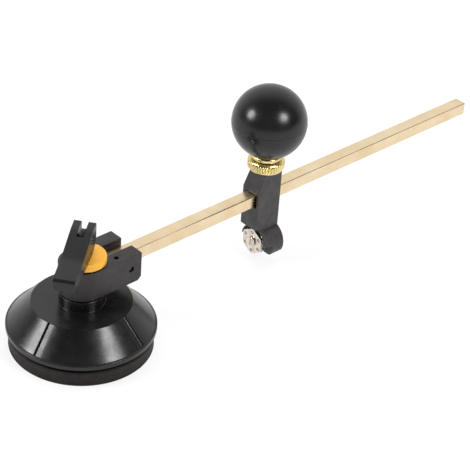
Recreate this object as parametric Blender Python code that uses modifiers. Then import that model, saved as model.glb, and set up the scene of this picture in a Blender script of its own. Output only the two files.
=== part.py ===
# Suction-cup circle cutter for glass: a cup on the pivot, a square beam that swings round it,
# and a clamped carriage with a ball grip and a turret of six cutting wheels.
# Frame: metres, +Z up, origin on the pivot axis at the underside of the suction pad.
# The beam points along +X.

import math

import bmesh
import bpy
from mathutils import Matrix, Vector

# Fits
GAP = 0.0003
MERGE_DISTANCE = 0.00001
CUT_PAST = 0.002

# Facets round a full turn, by size of the piece
FINE_TURN = 48
PLAIN_TURN = 32
SMALL_TURN = 16
ARC_STEPS = 16

# Suction pad
PAD_FLOOR = 0.0024
PAD_SPARE = 0.0008
PAD_LIP_THICKNESS = 0.0050
PAD_BOSS_WALL = 0.0041
PAD_WEB_HEIGHT = 0.0080
PAD_WALL_TOP = 0.0069
PAD_WALL_ROUND = 0.0006
PAD_FOOT_OUT = 0.0003
PAD_FOOT_HEIGHT = 0.0012
PAD_INSET = 0.0010
PAD_NECK_IN = 0.0025
PAD_SHOULDER_WIDTH = 0.0040
PAD_ENGAGEMENT = 0.0012
PAD_SLOT = 0.0018

# Housing
CONE_FOOT_RADIUS = 0.0310
CONE_HEIGHT = 0.0107
CROWN_RADIUS = 0.0212
RIM_LEDGE = 0.0007
RIM_HEIGHT = 0.0022
RIM_CHAMFER = 0.0004
HOUSING_WALL = 0.0025
PAD_STOP = 0.0006
NECK_HEIGHT = 0.0049
NECK_SHOULDER = 0.0028
NECK_FILLET = 0.0008
HUB_SHOULDER = 0.0018
BOSS_WALL = 0.0019
BOSS_HEIGHT = 0.0024
GUIDE_WALL = 0.0030
GUIDE_CLEARANCE = 0.0010
GROOVE_COUNT = 4
GROOVE_WIDTH = 0.0023
GROOVE_DEPTH = 0.0010
GROOVE_AZIMUTH = math.radians(15)

# Swivelling head
WASHER_THICKNESS = 0.0005
WASHER_EDGE = 0.0005
HEAD_WALL = 0.0028
HEAD_EDGE = 0.0004
ARM_END = 0.0232
ARM_CORNER_CUT = 0.0016
SOCKET_WALL = 0.0009
BRIDGE_PAST_RING = 0.0005
PIN_FROM_ARM_END = 0.0054
MARK_HOLE_PAST_BRIDGE = 0.0016
MARK_HOLE_RADIUS = 0.0011
MARK_HOLE_DEPTH = 0.0030

# Cap over the hub
CAP_INSET = 0.0010
CAP_OFFSET = 0.0009
CAP_AZIMUTH = math.radians(-45)
CAP_ROOF = 0.0008
CAP_EDGE_ROUND = 0.0010
CAP_EDGE_STEPS = 4
CAP_CROWN = 0.0004
CAP_CROWN_SHARE = 0.8

# Stem, lever and pin
STEM_RADIUS = 0.0030
STEM_PLATE_RADIUS = 0.0086
STEM_PLATE_THICKNESS = 0.0025
STEM_LIFT = 0.0017
TONGUE_THICKNESS = 0.0015
TONGUE_INSET = 0.0002
TONGUE_RISE = 0.0008
LEVER_AZIMUTH = math.radians(217.5)
LEVER_WIDTH = 0.0093
LEVER_SIDE_PLAY = 0.0004
LEVER_TOP_ABOVE_PIN = 0.0043
LEVER_TOP_SAG = 0.0006
LEVER_REACH = 0.0288
LEVER_TIP_HEIGHT = 0.0058
LEVER_TIP_ROUND = 0.0014
LEVER_WAIST = 0.0160
LEVER_WAIST_HEIGHT = 0.0066
CAM_CLOSED = 0.0075
CAM_STEPS = 10
PIN_RADIUS = 0.0011
PIN_INSET = 0.0003

# Beam
BEAM_SIZE = 0.0060
BEAM_SEAT = 0.0040
BEAM_COVER = 0.0034
BEAM_END = 0.2343
BEAM_CHAMFER = 0.0005
BEAM_PIN_RADIUS = 0.0010
BEAM_PIN_INSET = 0.0008

# Turret of cutting wheels
WHEEL_COUNT = 6
WHEEL_RADIUS = 0.0018
WHEEL_THICKNESS = 0.0006
WHEEL_BEVEL = 0.0004
WHEEL_WEB = 0.00055
WHEEL_STAND_OUT = 0.0002
WHEEL_ABOVE_PAD = 0.00435
AXLE_RADIUS = 0.00045
TURRET_THICKNESS = 0.0028
TURRET_NOSE = math.radians(5)
NOSE_STEPS = 2
SCREW_SHANK_RADIUS = 0.0015
SCREW_HEAD_RADIUS = 0.0023
SCREW_HEAD_HEIGHT = 0.0007
SCREW_HEAD_BEVEL = 0.0002
SCREW_SLOT_WIDTH = 0.0006
SCREW_SLOT_DEPTH = 0.0003
SCREW_DEPTH = 0.0040
SPRING_WASHER_INSET = 0.0002
SPRING_WASHER_THICKNESS = 0.0004

# Carriage
CARRIAGE_X = 0.1022
COLUMN_BACK = 0.0054
COLUMN_FRONT = 0.0080
COLUMN_FOOT_ABOVE_TURRET = 0.0091
COLUMN_RISE = 0.0102
COLUMN_CHAMFER_RISE = 0.0019
COLUMN_CHAMFER_IN = 0.0042
COLUMN_EDGE = 0.0004
PASSAGE_SIDE_GAP = 0.0009
PASSAGE_WALL = 0.0011
POCKET_FLOOR = 0.0012
POCKET_MARGIN = 0.00045
POCKET_OPEN_ABOVE = 0.0010
TURRET_PROUD = 0.0006
LUG_WALL = 0.0016
LUG_OFFSET = -0.0012
LUG_FLAT_DROP = 0.0049

# Clamp screw, nut and ball
STUD_RADIUS = 0.00245
STUD_IN_FERRULE = 0.0124
SHOE_INSET = 0.00015
SHOE_THICKNESS = 0.0013
NUT_RADIUS = 0.0083
NUT_HEIGHT = 0.0052
NUT_SHOULDER_IN = 0.0011
NUT_SHOULDER_HEIGHT = 0.0010
NUT_FOOT_HEIGHT = 0.0014
SHOULDER_STEPS = 3
KNURL_COUNT = 40
KNURL_DEPTH = 0.0004
FERRULE_RADIUS = 0.0069
FERRULE_THICKNESS = 0.0021
FERRULE_WALL = 0.00125
FERRULE_END_WALL = 0.0037
BALL_RADIUS = 0.0166
BALL_FLAT_RADIUS = 0.0064

# Sizes across that follow from the sizes above
BORE_RADIUS = STEM_RADIUS + GAP
BOSS_RADIUS = BORE_RADIUS + BOSS_WALL
HUB_RADIUS = BOSS_RADIUS + HUB_SHOULDER
NECK_RADIUS = HUB_RADIUS + NECK_SHOULDER
HEAD_RADIUS = HUB_RADIUS + GAP + HEAD_WALL
CAP_RADIUS = HEAD_RADIUS - CAP_INSET
TONGUE_HALF_WIDTH = STEM_RADIUS - TONGUE_INSET
LEVER_SLOT_END = TONGUE_HALF_WIDTH + TONGUE_RISE + GAP
RIM_RADIUS = CONE_FOOT_RADIUS + RIM_LEDGE
PAD_RADIUS = RIM_RADIUS - PAD_INSET
PAD_NECK_RADIUS = PAD_RADIUS - PAD_NECK_IN
PAD_BOSS_RADIUS = STEM_PLATE_RADIUS + GAP + PAD_BOSS_WALL
SOCKET_HALF = BEAM_SIZE / 2 + GAP
BRIDGE_END = HEAD_RADIUS + BRIDGE_PAST_RING
ARM_PIN_X = ARM_END - PIN_FROM_ARM_END
MARK_HOLE_X = BRIDGE_END + MARK_HOLE_PAST_BRIDGE
MARK_HOLE_Y = -(SOCKET_HALF + HEAD_RADIUS) / 2
COLUMN_HALF_DEPTH = BEAM_SIZE / 2 + PASSAGE_SIDE_GAP + PASSAGE_WALL
WHEEL_SLOT_RADIUS = WHEEL_RADIUS + GAP
WHEEL_PITCH_RADIUS = (2 * WHEEL_SLOT_RADIUS + WHEEL_WEB) / (2 * math.sin(math.pi / WHEEL_COUNT))
WHEEL_REACH = WHEEL_PITCH_RADIUS + WHEEL_RADIUS
TURRET_RADIUS = WHEEL_REACH - WHEEL_STAND_OUT
SPRING_WASHER_RADIUS = TURRET_RADIUS - SPRING_WASHER_INSET
TURRET_FRONT = POCKET_FLOOR + GAP + SPRING_WASHER_THICKNESS + GAP + TURRET_THICKNESS
LUG_FRONT = TURRET_FRONT - TURRET_PROUD
POCKET_RADIUS = WHEEL_REACH + POCKET_MARGIN
LUG_RADIUS = POCKET_RADIUS + LUG_WALL
SHOE_RADIUS = STUD_RADIUS - SHOE_INSET
STUD_HOLE_RADIUS = STUD_RADIUS + GAP
FERRULE_SLEEVE_RADIUS = STUD_HOLE_RADIUS + FERRULE_WALL

# Heights that follow from the sizes above
PLATE_BOTTOM = PAD_FLOOR + GAP + STEM_LIFT + PAD_SPARE
PLATE_TOP = PLATE_BOTTOM + STEM_PLATE_THICKNESS
PAD_LIP_BOTTOM = PLATE_TOP + GAP
PAD_BOSS_HEIGHT = PAD_LIP_BOTTOM + PAD_LIP_THICKNESS
GUIDE_BOTTOM = PAD_BOSS_HEIGHT + GUIDE_CLEARANCE
RIM_BOTTOM = PAD_WALL_TOP + PAD_SLOT
RIM_TOP = RIM_BOTTOM + RIM_HEIGHT
PAD_SHOULDER_HEIGHT = RIM_BOTTOM + PAD_ENGAGEMENT
CROWN_HEIGHT = RIM_TOP + CONE_HEIGHT
NECK_TOP = CROWN_HEIGHT + NECK_HEIGHT
HEAD_BOTTOM = NECK_TOP + GAP + WASHER_THICKNESS + GAP
BEAM_BOTTOM = HEAD_BOTTOM + BEAM_SEAT
BEAM_TOP = BEAM_BOTTOM + BEAM_SIZE
BEAM_MIDDLE = (BEAM_BOTTOM + BEAM_TOP) / 2
HEAD_TOP = BEAM_TOP + BEAM_COVER
HUB_TOP = HEAD_TOP
BOSS_TOP = HUB_TOP + BOSS_HEIGHT
CAP_BOTTOM = HEAD_TOP + GAP
CAP_TOP = BOSS_TOP + GAP + CAP_ROOF
LEVER_FOOT = CAP_TOP + CAP_CROWN + GAP
PIN_HEIGHT = LEVER_FOOT + CAM_CLOSED
TURRET_HEIGHT = WHEEL_ABOVE_PAD + WHEEL_REACH
COLUMN_FOOT = TURRET_HEIGHT + COLUMN_FOOT_ABOVE_TURRET
COLUMN_TOP = BEAM_TOP + COLUMN_RISE
SHOE_BOTTOM = BEAM_TOP + GAP
NUT_BOTTOM = COLUMN_TOP + GAP
NUT_TOP = NUT_BOTTOM + NUT_HEIGHT
FERRULE_BOTTOM = NUT_TOP + GAP
STUD_TOP = FERRULE_BOTTOM + STUD_IN_FERRULE
FERRULE_TOP = STUD_TOP + GAP + FERRULE_END_WALL
BALL_FLAT = FERRULE_BOTTOM + FERRULE_THICKNESS + GAP
BALL_CENTRE = BALL_FLAT + math.sqrt(BALL_RADIUS ** 2 - BALL_FLAT_RADIUS ** 2)

AXES = {"X": Vector((1, 0, 0)), "Y": Vector((0, 1, 0)), "Z": Vector((0, 0, 1))}


# Scene and materials

def clear_scene():
    for item in list(bpy.data.objects):
        bpy.data.objects.remove(item, do_unlink=True)
    for item in list(bpy.data.collections):
        bpy.data.collections.remove(item)


def new_collection(name):
    collection = bpy.data.collections.new(name)
    bpy.context.scene.collection.children.link(collection)
    return collection


def material(name, colour, roughness, metallic=0.0):
    finish = bpy.data.materials.new(name)
    finish.use_nodes = True
    shader = finish.node_tree.nodes["Principled BSDF"]
    shader.inputs["Base Color"].default_value = (*colour, 1.0)
    shader.inputs["Roughness"].default_value = roughness
    shader.inputs["Metallic"].default_value = metallic
    return finish


def all_materials():
    return {
        "gloss_black": material("gloss_black", (0.012, 0.012, 0.013), 0.22),
        "satin_black": material("satin_black", (0.022, 0.022, 0.024), 0.42),
        "cast_black": material("cast_black", (0.040, 0.040, 0.043), 0.46),
        "rubber": material("rubber", (0.030, 0.024, 0.021), 0.75),
        "yellow": material("yellow", (0.84, 0.47, 0.045), 0.38),
        "brass": material("brass", (0.86, 0.66, 0.33), 0.30, 1.0),
        "steel": material("steel", (0.62, 0.61, 0.60), 0.28, 1.0),
        "nickel": material("nickel", (0.84, 0.77, 0.75), 0.26, 1.0),
        "carbide": material("carbide", (0.42, 0.42, 0.44), 0.34, 1.0),
    }


# Shapes

def keep(part, collection):
    for other in list(part.users_collection):
        other.objects.unlink(part)
    collection.objects.link(part)
    return part


def from_bmesh(name, shape):
    mesh = bpy.data.meshes.new(name)
    shape.to_mesh(mesh)
    shape.free()
    part = bpy.data.objects.new(name, mesh)
    bpy.context.scene.collection.objects.link(part)
    return part


def aim(part, axis):
    """Turns a piece made along +Z so that it lies along the named axis."""
    part.rotation_mode = "QUATERNION"
    part.rotation_quaternion = AXES["Z"].rotation_difference(AXES[axis])
    return part


def block(name, low, high):
    """A box between two opposite corners."""
    shape = bmesh.new()
    bmesh.ops.create_cube(shape, size=1.0)
    size = Vector(high) - Vector(low)
    bmesh.ops.scale(shape, vec=size, verts=shape.verts)
    part = from_bmesh(name, shape)
    part.location = (Vector(low) + Vector(high)) / 2
    return part


def rod(name, radius, start, length, axis="Z", steps=SMALL_TURN):
    """A cylinder that starts at a point and runs along the named axis."""
    shape = bmesh.new()
    bmesh.ops.create_cone(
        shape, cap_ends=True, segments=steps, radius1=radius, radius2=radius, depth=length
    )
    part = aim(from_bmesh(name, shape), axis)
    part.location = Vector(start) + AXES[axis] * length / 2
    return part


def turned(name, profile, steps=PLAIN_TURN, ring=False):
    """A turned piece from (radius, height) points that run down its outer side."""
    mesh = bpy.data.meshes.new(name)
    points = [(radius, 0.0, height) for radius, height in profile]
    edges = [(index, index + 1) for index in range(len(points) - 1)]
    if ring:
        edges.append((len(points) - 1, 0))
    mesh.from_pydata(points, edges, [])
    part = bpy.data.objects.new(name, mesh)
    bpy.context.scene.collection.objects.link(part)
    screw = part.modifiers.new("turn", "SCREW")
    screw.steps = steps
    screw.render_steps = steps
    screw.use_merge_vertices = True
    screw.merge_threshold = MERGE_DISTANCE
    return part


def slab(name, outline, thickness):
    """A flat outline in the piece's own XY plane, as thick as asked on both sides of it."""
    curve = bpy.data.curves.new(name, "CURVE")
    curve.dimensions = "2D"
    curve.fill_mode = "BOTH"
    curve.extrude = thickness / 2
    spline = curve.splines.new("POLY")
    spline.points.add(len(outline) - 1)
    for point, (across, along) in zip(spline.points, outline):
        point.co = (across, along, 0.0, 1.0)
    spline.use_cyclic_u = True
    guide = bpy.data.objects.new(name + "_outline", curve)
    bpy.context.scene.collection.objects.link(guide)
    bpy.context.view_layer.update()
    evaluated = guide.evaluated_get(bpy.context.evaluated_depsgraph_get())
    mesh = bpy.data.meshes.new_from_object(evaluated)
    shape = bmesh.new()
    shape.from_mesh(mesh)
    bmesh.ops.remove_doubles(shape, verts=shape.verts, dist=MERGE_DISTANCE)
    bpy.data.meshes.remove(mesh)
    part = from_bmesh(name, shape)
    part.matrix_world = guide.matrix_world
    bpy.data.objects.remove(guide, do_unlink=True)
    return part


def stand_up(part, heading=0.0):
    """Stands a slab up, so that its own X runs along the heading and its own Y runs up."""
    part.rotation_mode = "XYZ"
    part.rotation_euler = (math.pi / 2, 0.0, heading)
    return part


def face_along_x(part):
    """Turns a slab so that its own X runs along +Y, its own Y up and its thickness along X."""
    part.rotation_mode = "XYZ"
    part.rotation_euler = (math.pi / 2, 0.0, math.pi / 2)
    return part


def combine(part, other, operation, cutters):
    """Adds a Boolean with a helper shape, which is kept out of the model."""
    keep(other, cutters)
    other.hide_render = True
    other.display_type = "WIRE"
    step = part.modifiers.new(other.name, "BOOLEAN")
    step.operation = operation
    step.solver = "EXACT"
    step.object = other
    return part


def ease_edges(part, width, segments=1):
    bevel = part.modifiers.new("edges", "BEVEL")
    bevel.width = width
    bevel.segments = segments
    bevel.limit_method = "ANGLE"
    return part


def arc(centre, radius, start, end, steps, rise=None):
    """Points on an arc from one angle to another, ends included, or on an oval one whose
    second half axis is the rise."""
    tall = radius if rise is None else rise
    points = []
    for index in range(steps + 1):
        angle = start + (end - start) * index / steps
        points.append((centre[0] + radius * math.cos(angle), centre[1] + tall * math.sin(angle)))
    return points


def finish(part, collection, paint, smooth_angle=None):
    """Puts a finished piece in the model with its material and shading."""
    keep(part, collection)
    part.data.materials.clear()
    part.data.materials.append(paint)
    if smooth_angle is not None:
        part.data.shade_smooth()
        part.data.set_sharp_from_angle(angle=smooth_angle)
        for step in part.modifiers:
            if step.type == "SCREW":
                step.use_smooth_shade = True
    return part


SMOOTH = math.radians(35)


# Base

def suction_pad():
    neck = PAD_NECK_RADIUS
    shoulder_in = neck - PAD_SHOULDER_WIDTH
    plate_room = STEM_PLATE_RADIUS + GAP
    profile = [
        (0.0, PAD_FLOOR),
        (plate_room, PAD_FLOOR),
        (plate_room, PAD_LIP_BOTTOM),
        (BORE_RADIUS, PAD_LIP_BOTTOM),
        (BORE_RADIUS, PAD_BOSS_HEIGHT),
        (PAD_BOSS_RADIUS, PAD_BOSS_HEIGHT),
        (PAD_BOSS_RADIUS, PAD_WEB_HEIGHT),
        (shoulder_in, PAD_WEB_HEIGHT),
        (shoulder_in, PAD_SHOULDER_HEIGHT),
        (neck, PAD_SHOULDER_HEIGHT),
        (neck, PAD_WALL_TOP + PAD_WALL_ROUND),
        (PAD_RADIUS - PAD_WALL_ROUND, PAD_WALL_TOP),
        (PAD_RADIUS, PAD_WALL_TOP - PAD_WALL_ROUND),
        (PAD_RADIUS, PAD_FOOT_HEIGHT),
        (PAD_RADIUS + PAD_FOOT_OUT, PAD_FOOT_OUT),
        (PAD_RADIUS, 0.0),
        (0.0, 0.0),
    ]
    return turned("suction_pad", profile, FINE_TURN)


def base_housing(cutters):
    bore = BORE_RADIUS
    guide = bore + GUIDE_WALL
    skirt = PAD_NECK_RADIUS + GAP
    step_height = PAD_SHOULDER_HEIGHT + GAP
    slope = (CONE_FOOT_RADIUS - CROWN_RADIUS) / (CROWN_HEIGHT - RIM_TOP)
    ceiling = CROWN_HEIGHT - HOUSING_WALL
    shell = HOUSING_WALL * math.hypot(1.0, slope)
    inner_foot = skirt - PAD_STOP
    inner_crown = CONE_FOOT_RADIUS - slope * (ceiling - RIM_TOP) - shell
    profile = [
        (bore, BOSS_TOP),
        (BOSS_RADIUS, BOSS_TOP),
        (BOSS_RADIUS, HUB_TOP),
        (HUB_RADIUS, HUB_TOP),
        (HUB_RADIUS, NECK_TOP),
        (NECK_RADIUS, NECK_TOP),
        (NECK_RADIUS, CROWN_HEIGHT + NECK_FILLET),
        (NECK_RADIUS + NECK_FILLET, CROWN_HEIGHT),
        (CROWN_RADIUS, CROWN_HEIGHT),
        (CONE_FOOT_RADIUS, RIM_TOP),
        (RIM_RADIUS - RIM_CHAMFER, RIM_TOP),
        (RIM_RADIUS, RIM_TOP - RIM_CHAMFER),
        (RIM_RADIUS, RIM_BOTTOM),
        (skirt, RIM_BOTTOM),
        (skirt, step_height),
        (inner_foot, step_height),
        (inner_crown, ceiling),
        (guide, ceiling),
        (guide, GUIDE_BOTTOM),
        (bore, GUIDE_BOTTOM),
    ]
    part = turned("base_housing", profile, FINE_TURN, ring=True)
    run = CONE_FOOT_RADIUS - CROWN_RADIUS
    drop = CROWN_HEIGHT - RIM_TOP
    length = math.hypot(run, drop)
    tilt = math.atan2(drop, run)
    for index in range(GROOVE_COUNT):
        groove = block(
            f"groove_{index + 1}",
            (-length / 2, -GROOVE_WIDTH / 2, -GROOVE_DEPTH),
            (length / 2, GROOVE_WIDTH / 2, GROOVE_DEPTH),
        )
        azimuth = GROOVE_AZIMUTH + math.tau * index / GROOVE_COUNT
        middle = (CONE_FOOT_RADIUS + CROWN_RADIUS) / 2
        groove.rotation_mode = "XYZ"
        groove.rotation_euler = (0.0, tilt, azimuth)
        groove.location = (
            middle * math.cos(azimuth),
            middle * math.sin(azimuth),
            (CROWN_HEIGHT + RIM_TOP) / 2,
        )
        combine(part, groove, "DIFFERENCE", cutters)
    return part


def retaining_cap(cutters):
    """The cap, whose rim stands a little off the pivot axis, beside the lever."""
    recess = BOSS_RADIUS + GAP
    recess_top = BOSS_TOP + GAP
    edge = CAP_RADIUS - CAP_EDGE_ROUND
    bend = CAP_TOP - CAP_EDGE_ROUND
    quarter = arc((edge, bend), CAP_EDGE_ROUND, math.pi / 2, 0.0, CAP_EDGE_STEPS)
    profile = [
        (0.0, CAP_TOP + CAP_CROWN),
        (edge / 2, CAP_TOP + CAP_CROWN * CAP_CROWN_SHARE),
        *quarter,
        (CAP_RADIUS, CAP_BOTTOM),
        (0.0, CAP_BOTTOM),
    ]
    part = turned("retaining_cap", profile, FINE_TURN)
    part.location = (
        CAP_OFFSET * math.cos(CAP_AZIMUTH),
        CAP_OFFSET * math.sin(CAP_AZIMUTH),
        0.0,
    )
    room = [
        (0.0, CAP_TOP + CUT_PAST),
        (BORE_RADIUS, CAP_TOP + CUT_PAST),
        (BORE_RADIUS, recess_top),
        (recess, recess_top),
        (recess, CAP_BOTTOM - CUT_PAST),
        (0.0, CAP_BOTTOM - CUT_PAST),
    ]
    combine(part, turned("hub_room", room), "DIFFERENCE", cutters)
    return part


def flat_ring(name, inner, outer, bottom, thickness, steps=PLAIN_TURN):
    top = bottom + thickness
    profile = [(inner, top), (outer, top), (outer, bottom), (inner, bottom)]
    return turned(name, profile, steps, ring=True)


def swivel_washer():
    inner = HUB_RADIUS + GAP
    outer = NECK_RADIUS - WASHER_EDGE
    return flat_ring("swivel_washer", inner, outer, NECK_TOP + GAP, WASHER_THICKNESS)


# Stem and lever

def pull_stem(cutters):
    rod_top = CAP_TOP
    profile = [
        (0.0, rod_top),
        (STEM_RADIUS, rod_top),
        (STEM_RADIUS, PLATE_TOP),
        (STEM_PLATE_RADIUS, PLATE_TOP),
        (STEM_PLATE_RADIUS, PLATE_BOTTOM),
        (0.0, PLATE_BOTTOM),
    ]
    part = turned("pull_stem", [(radius, height - PIN_HEIGHT) for radius, height in profile])
    part.location = (0.0, 0.0, PIN_HEIGHT)
    neck = rod_top - STEM_RADIUS - PIN_HEIGHT
    eye = arc((0.0, TONGUE_RISE), TONGUE_HALF_WIDTH, 0.0, math.pi, ARC_STEPS // 2)
    outline = [(-TONGUE_HALF_WIDTH, neck), (TONGUE_HALF_WIDTH, neck), *eye]
    tongue = stand_up(slab("stem_tongue", outline, TONGUE_THICKNESS), LEVER_AZIMUTH)
    tongue.location = (0.0, 0.0, PIN_HEIGHT)
    combine(part, tongue, "UNION", cutters)
    combine(part, cross_hole("stem_eye", PIN_RADIUS + GAP), "DIFFERENCE", cutters)
    return part


def beside_tongue(part):
    """Moves a slab by the play that the lever takes up on one side of the tongue."""
    part.data.transform(Matrix.Translation((0.0, 0.0, LEVER_SIDE_PLAY)))
    return part


def cross_hole(name, radius):
    """A cutter through the lever's width, on the pin's axis."""
    return cross_rod(name, radius, LEVER_WIDTH + CUT_PAST)


def cross_rod(name, radius, length):
    """A rod on the lever pin's axis, as far to one side of the tongue as the lever."""
    shape = bmesh.new()
    bmesh.ops.create_cone(
        shape, cap_ends=True, segments=SMALL_TURN, radius1=radius, radius2=radius, depth=length
    )
    part = stand_up(beside_tongue(from_bmesh(name, shape)), LEVER_AZIMUTH)
    part.location = (0.0, 0.0, PIN_HEIGHT)
    return part


def cam_outline():
    """The cam from its foot to its end face. The distance from the pin to the cap falls
    evenly with the angle, so the curve is the one whose tangents lie at that distance."""
    rate = -STEM_LIFT / (math.pi / 2)
    points = []
    for index in range(CAM_STEPS + 1):
        angle = math.pi / 2 * index / CAM_STEPS
        reach = CAM_CLOSED + rate * angle
        along = -reach * math.sin(angle) - rate * math.cos(angle)
        up = -reach * math.cos(angle) + rate * math.sin(angle)
        points.append((along, up))
    return points


def lever(cutters):
    foot = -CAM_CLOSED
    tip_top = foot + LEVER_TIP_HEIGHT
    end_face = -(CAM_CLOSED - STEM_LIFT)
    outline = [
        *cam_outline(),
        (end_face, LEVER_TOP_ABOVE_PIN),
        (0.0, LEVER_TOP_ABOVE_PIN - LEVER_TOP_SAG),
        (LEVER_WAIST, foot + LEVER_WAIST_HEIGHT),
        (LEVER_REACH - LEVER_TIP_ROUND, tip_top),
        (LEVER_REACH, tip_top - LEVER_TIP_ROUND),
        (LEVER_REACH, foot + LEVER_TIP_ROUND / 2),
        (LEVER_REACH - LEVER_TIP_ROUND / 2, foot),
    ]
    part = stand_up(beside_tongue(slab("lever", outline, LEVER_WIDTH)), LEVER_AZIMUTH)
    part.location = (0.0, 0.0, PIN_HEIGHT)
    room = TONGUE_THICKNESS / 2 + GAP
    slot = block(
        "lever_slot",
        (end_face - CUT_PAST, foot - CUT_PAST, -room),
        (LEVER_SLOT_END, LEVER_TOP_ABOVE_PIN + CUT_PAST, room + 2 * LEVER_SIDE_PLAY),
    )
    turned_slot = slot.data
    turned_slot.transform(slot.matrix_basis)
    slot.location = (0.0, 0.0, PIN_HEIGHT)
    stand_up(slot, LEVER_AZIMUTH)
    combine(part, slot, "DIFFERENCE", cutters)
    combine(part, cross_hole("lever_pin_hole", PIN_RADIUS + GAP), "DIFFERENCE", cutters)
    return part


def lever_pin():
    return cross_rod("lever_pin", PIN_RADIUS, LEVER_WIDTH - PIN_INSET)


# Head and beam

def swivel_head(cutters):
    bore = HUB_RADIUS + GAP
    low = HEAD_BOTTOM
    high = HEAD_TOP
    outer = HEAD_RADIUS
    profile = [
        (bore, high),
        (outer - HEAD_EDGE, high),
        (outer, high - HEAD_EDGE),
        (outer, low + HEAD_EDGE),
        (outer - HEAD_EDGE, low),
        (bore, low),
    ]
    part = turned("swivel_head", profile, FINE_TURN, ring=True)
    outline = [
        (0.0, low),
        (ARM_END - ARM_CORNER_CUT, low),
        (ARM_END, low + ARM_CORNER_CUT),
        (ARM_END, high),
        (0.0, high),
    ]
    arms = stand_up(slab("head_arms", outline, 2 * outer))
    ease_edges(arms, HEAD_EDGE)
    combine(part, arms, "UNION", cutters)
    through = high - low + 2 * CUT_PAST
    middle = rod("head_bore", bore, (0, 0, low - CUT_PAST), through, "Z", FINE_TURN)
    combine(part, middle, "DIFFERENCE", cutters)
    half = SOCKET_HALF
    start = bore + SOCKET_WALL
    socket = block(
        "beam_socket",
        (start, -half, BEAM_BOTTOM - GAP),
        (BRIDGE_END + CUT_PAST, half, BEAM_TOP + GAP),
    )
    combine(part, socket, "DIFFERENCE", cutters)
    channel = block(
        "beam_channel",
        (BRIDGE_END, -half, BEAM_BOTTOM - GAP),
        (ARM_END + CUT_PAST, half, high + CUT_PAST),
    )
    combine(part, channel, "DIFFERENCE", cutters)
    pin_hole = rod(
        "arm_pin_hole",
        BEAM_PIN_RADIUS + GAP,
        (ARM_PIN_X, -outer - CUT_PAST, BEAM_MIDDLE),
        2 * outer + 2 * CUT_PAST,
        "Y",
    )
    combine(part, pin_hole, "DIFFERENCE", cutters)
    mark = rod(
        "arm_blind_hole",
        MARK_HOLE_RADIUS,
        (MARK_HOLE_X, MARK_HOLE_Y, high - MARK_HOLE_DEPTH),
        MARK_HOLE_DEPTH + CUT_PAST,
    )
    combine(part, mark, "DIFFERENCE", cutters)
    return part


def beam(cutters):
    start = HUB_RADIUS + GAP + SOCKET_WALL + GAP
    half = BEAM_SIZE / 2
    part = block("beam", (start, -half, BEAM_BOTTOM), (BEAM_END, half, BEAM_TOP))
    ease_edges(part, BEAM_CHAMFER)
    hole = rod(
        "beam_pin_hole",
        BEAM_PIN_RADIUS + GAP,
        (ARM_PIN_X, -half - CUT_PAST, BEAM_MIDDLE),
        BEAM_SIZE + 2 * CUT_PAST,
        "Y",
    )
    combine(part, hole, "DIFFERENCE", cutters)
    return part


def beam_pin():
    start = -HEAD_RADIUS + BEAM_PIN_INSET
    return rod("beam_pin", BEAM_PIN_RADIUS, (ARM_PIN_X, start, BEAM_MIDDLE), -2 * start, "Y")


# Carriage

def carriage_body(cutters):
    pocket_floor = CARRIAGE_X - POCKET_FLOOR
    lug_front = CARRIAGE_X - LUG_FRONT
    back = CARRIAGE_X + COLUMN_BACK
    front = CARRIAGE_X - COLUMN_FRONT
    outline = [
        (front, COLUMN_FOOT),
        (lug_front, COLUMN_FOOT),
        (lug_front, TURRET_HEIGHT + TURRET_RADIUS),
        (pocket_floor, TURRET_HEIGHT),
        (back, TURRET_HEIGHT),
        (back, COLUMN_TOP),
        (front + COLUMN_CHAMFER_IN, COLUMN_TOP),
        (front, BEAM_TOP + COLUMN_CHAMFER_RISE),
    ]
    part = stand_up(slab("carriage_body", outline, 2 * COLUMN_HALF_DEPTH))
    ease_edges(part, COLUMN_EDGE)
    lug = rod(
        "turret_lug",
        LUG_RADIUS,
        (lug_front, LUG_OFFSET, TURRET_HEIGHT),
        back - lug_front,
        "X",
        PLAIN_TURN,
    )
    ease_edges(lug, COLUMN_EDGE)
    combine(part, lug, "UNION", cutters)
    pocket = rod(
        "turret_pocket",
        POCKET_RADIUS,
        (front - CUT_PAST, 0.0, TURRET_HEIGHT),
        pocket_floor - front + CUT_PAST,
        "X",
        PLAIN_TURN,
    )
    combine(part, pocket, "DIFFERENCE", cutters)
    wide = 2 * LUG_RADIUS
    opening = block(
        "turret_opening",
        (front - CUT_PAST, -wide, -CUT_PAST),
        (pocket_floor, wide, TURRET_HEIGHT + POCKET_OPEN_ABOVE),
    )
    combine(part, opening, "DIFFERENCE", cutters)
    lug_bottom = TURRET_HEIGHT - LUG_FLAT_DROP
    flat = block("lug_flat", (front, -wide, -CUT_PAST), (back + CUT_PAST, wide, lug_bottom))
    combine(part, flat, "DIFFERENCE", cutters)
    passage = block(
        "beam_passage",
        (front - CUT_PAST, -BEAM_SIZE / 2 - PASSAGE_SIDE_GAP, BEAM_BOTTOM - GAP),
        (back + CUT_PAST, SOCKET_HALF, BEAM_TOP + GAP),
    )
    combine(part, passage, "DIFFERENCE", cutters)
    tapped = rod(
        "stud_hole",
        STUD_HOLE_RADIUS,
        (CARRIAGE_X, 0.0, BEAM_TOP),
        COLUMN_TOP + CUT_PAST - BEAM_TOP,
    )
    combine(part, tapped, "DIFFERENCE", cutters)
    screw_hole = rod(
        "turret_screw_hole",
        SCREW_SHANK_RADIUS + GAP,
        (pocket_floor - CUT_PAST, 0.0, TURRET_HEIGHT),
        SCREW_DEPTH + GAP + CUT_PAST,
        "X",
    )
    combine(part, screw_hole, "DIFFERENCE", cutters)
    return part


def clamp_shoe():
    part = rod("clamp_shoe", SHOE_RADIUS, (CARRIAGE_X, 0.0, SHOE_BOTTOM), SHOE_THICKNESS)
    return part


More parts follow.
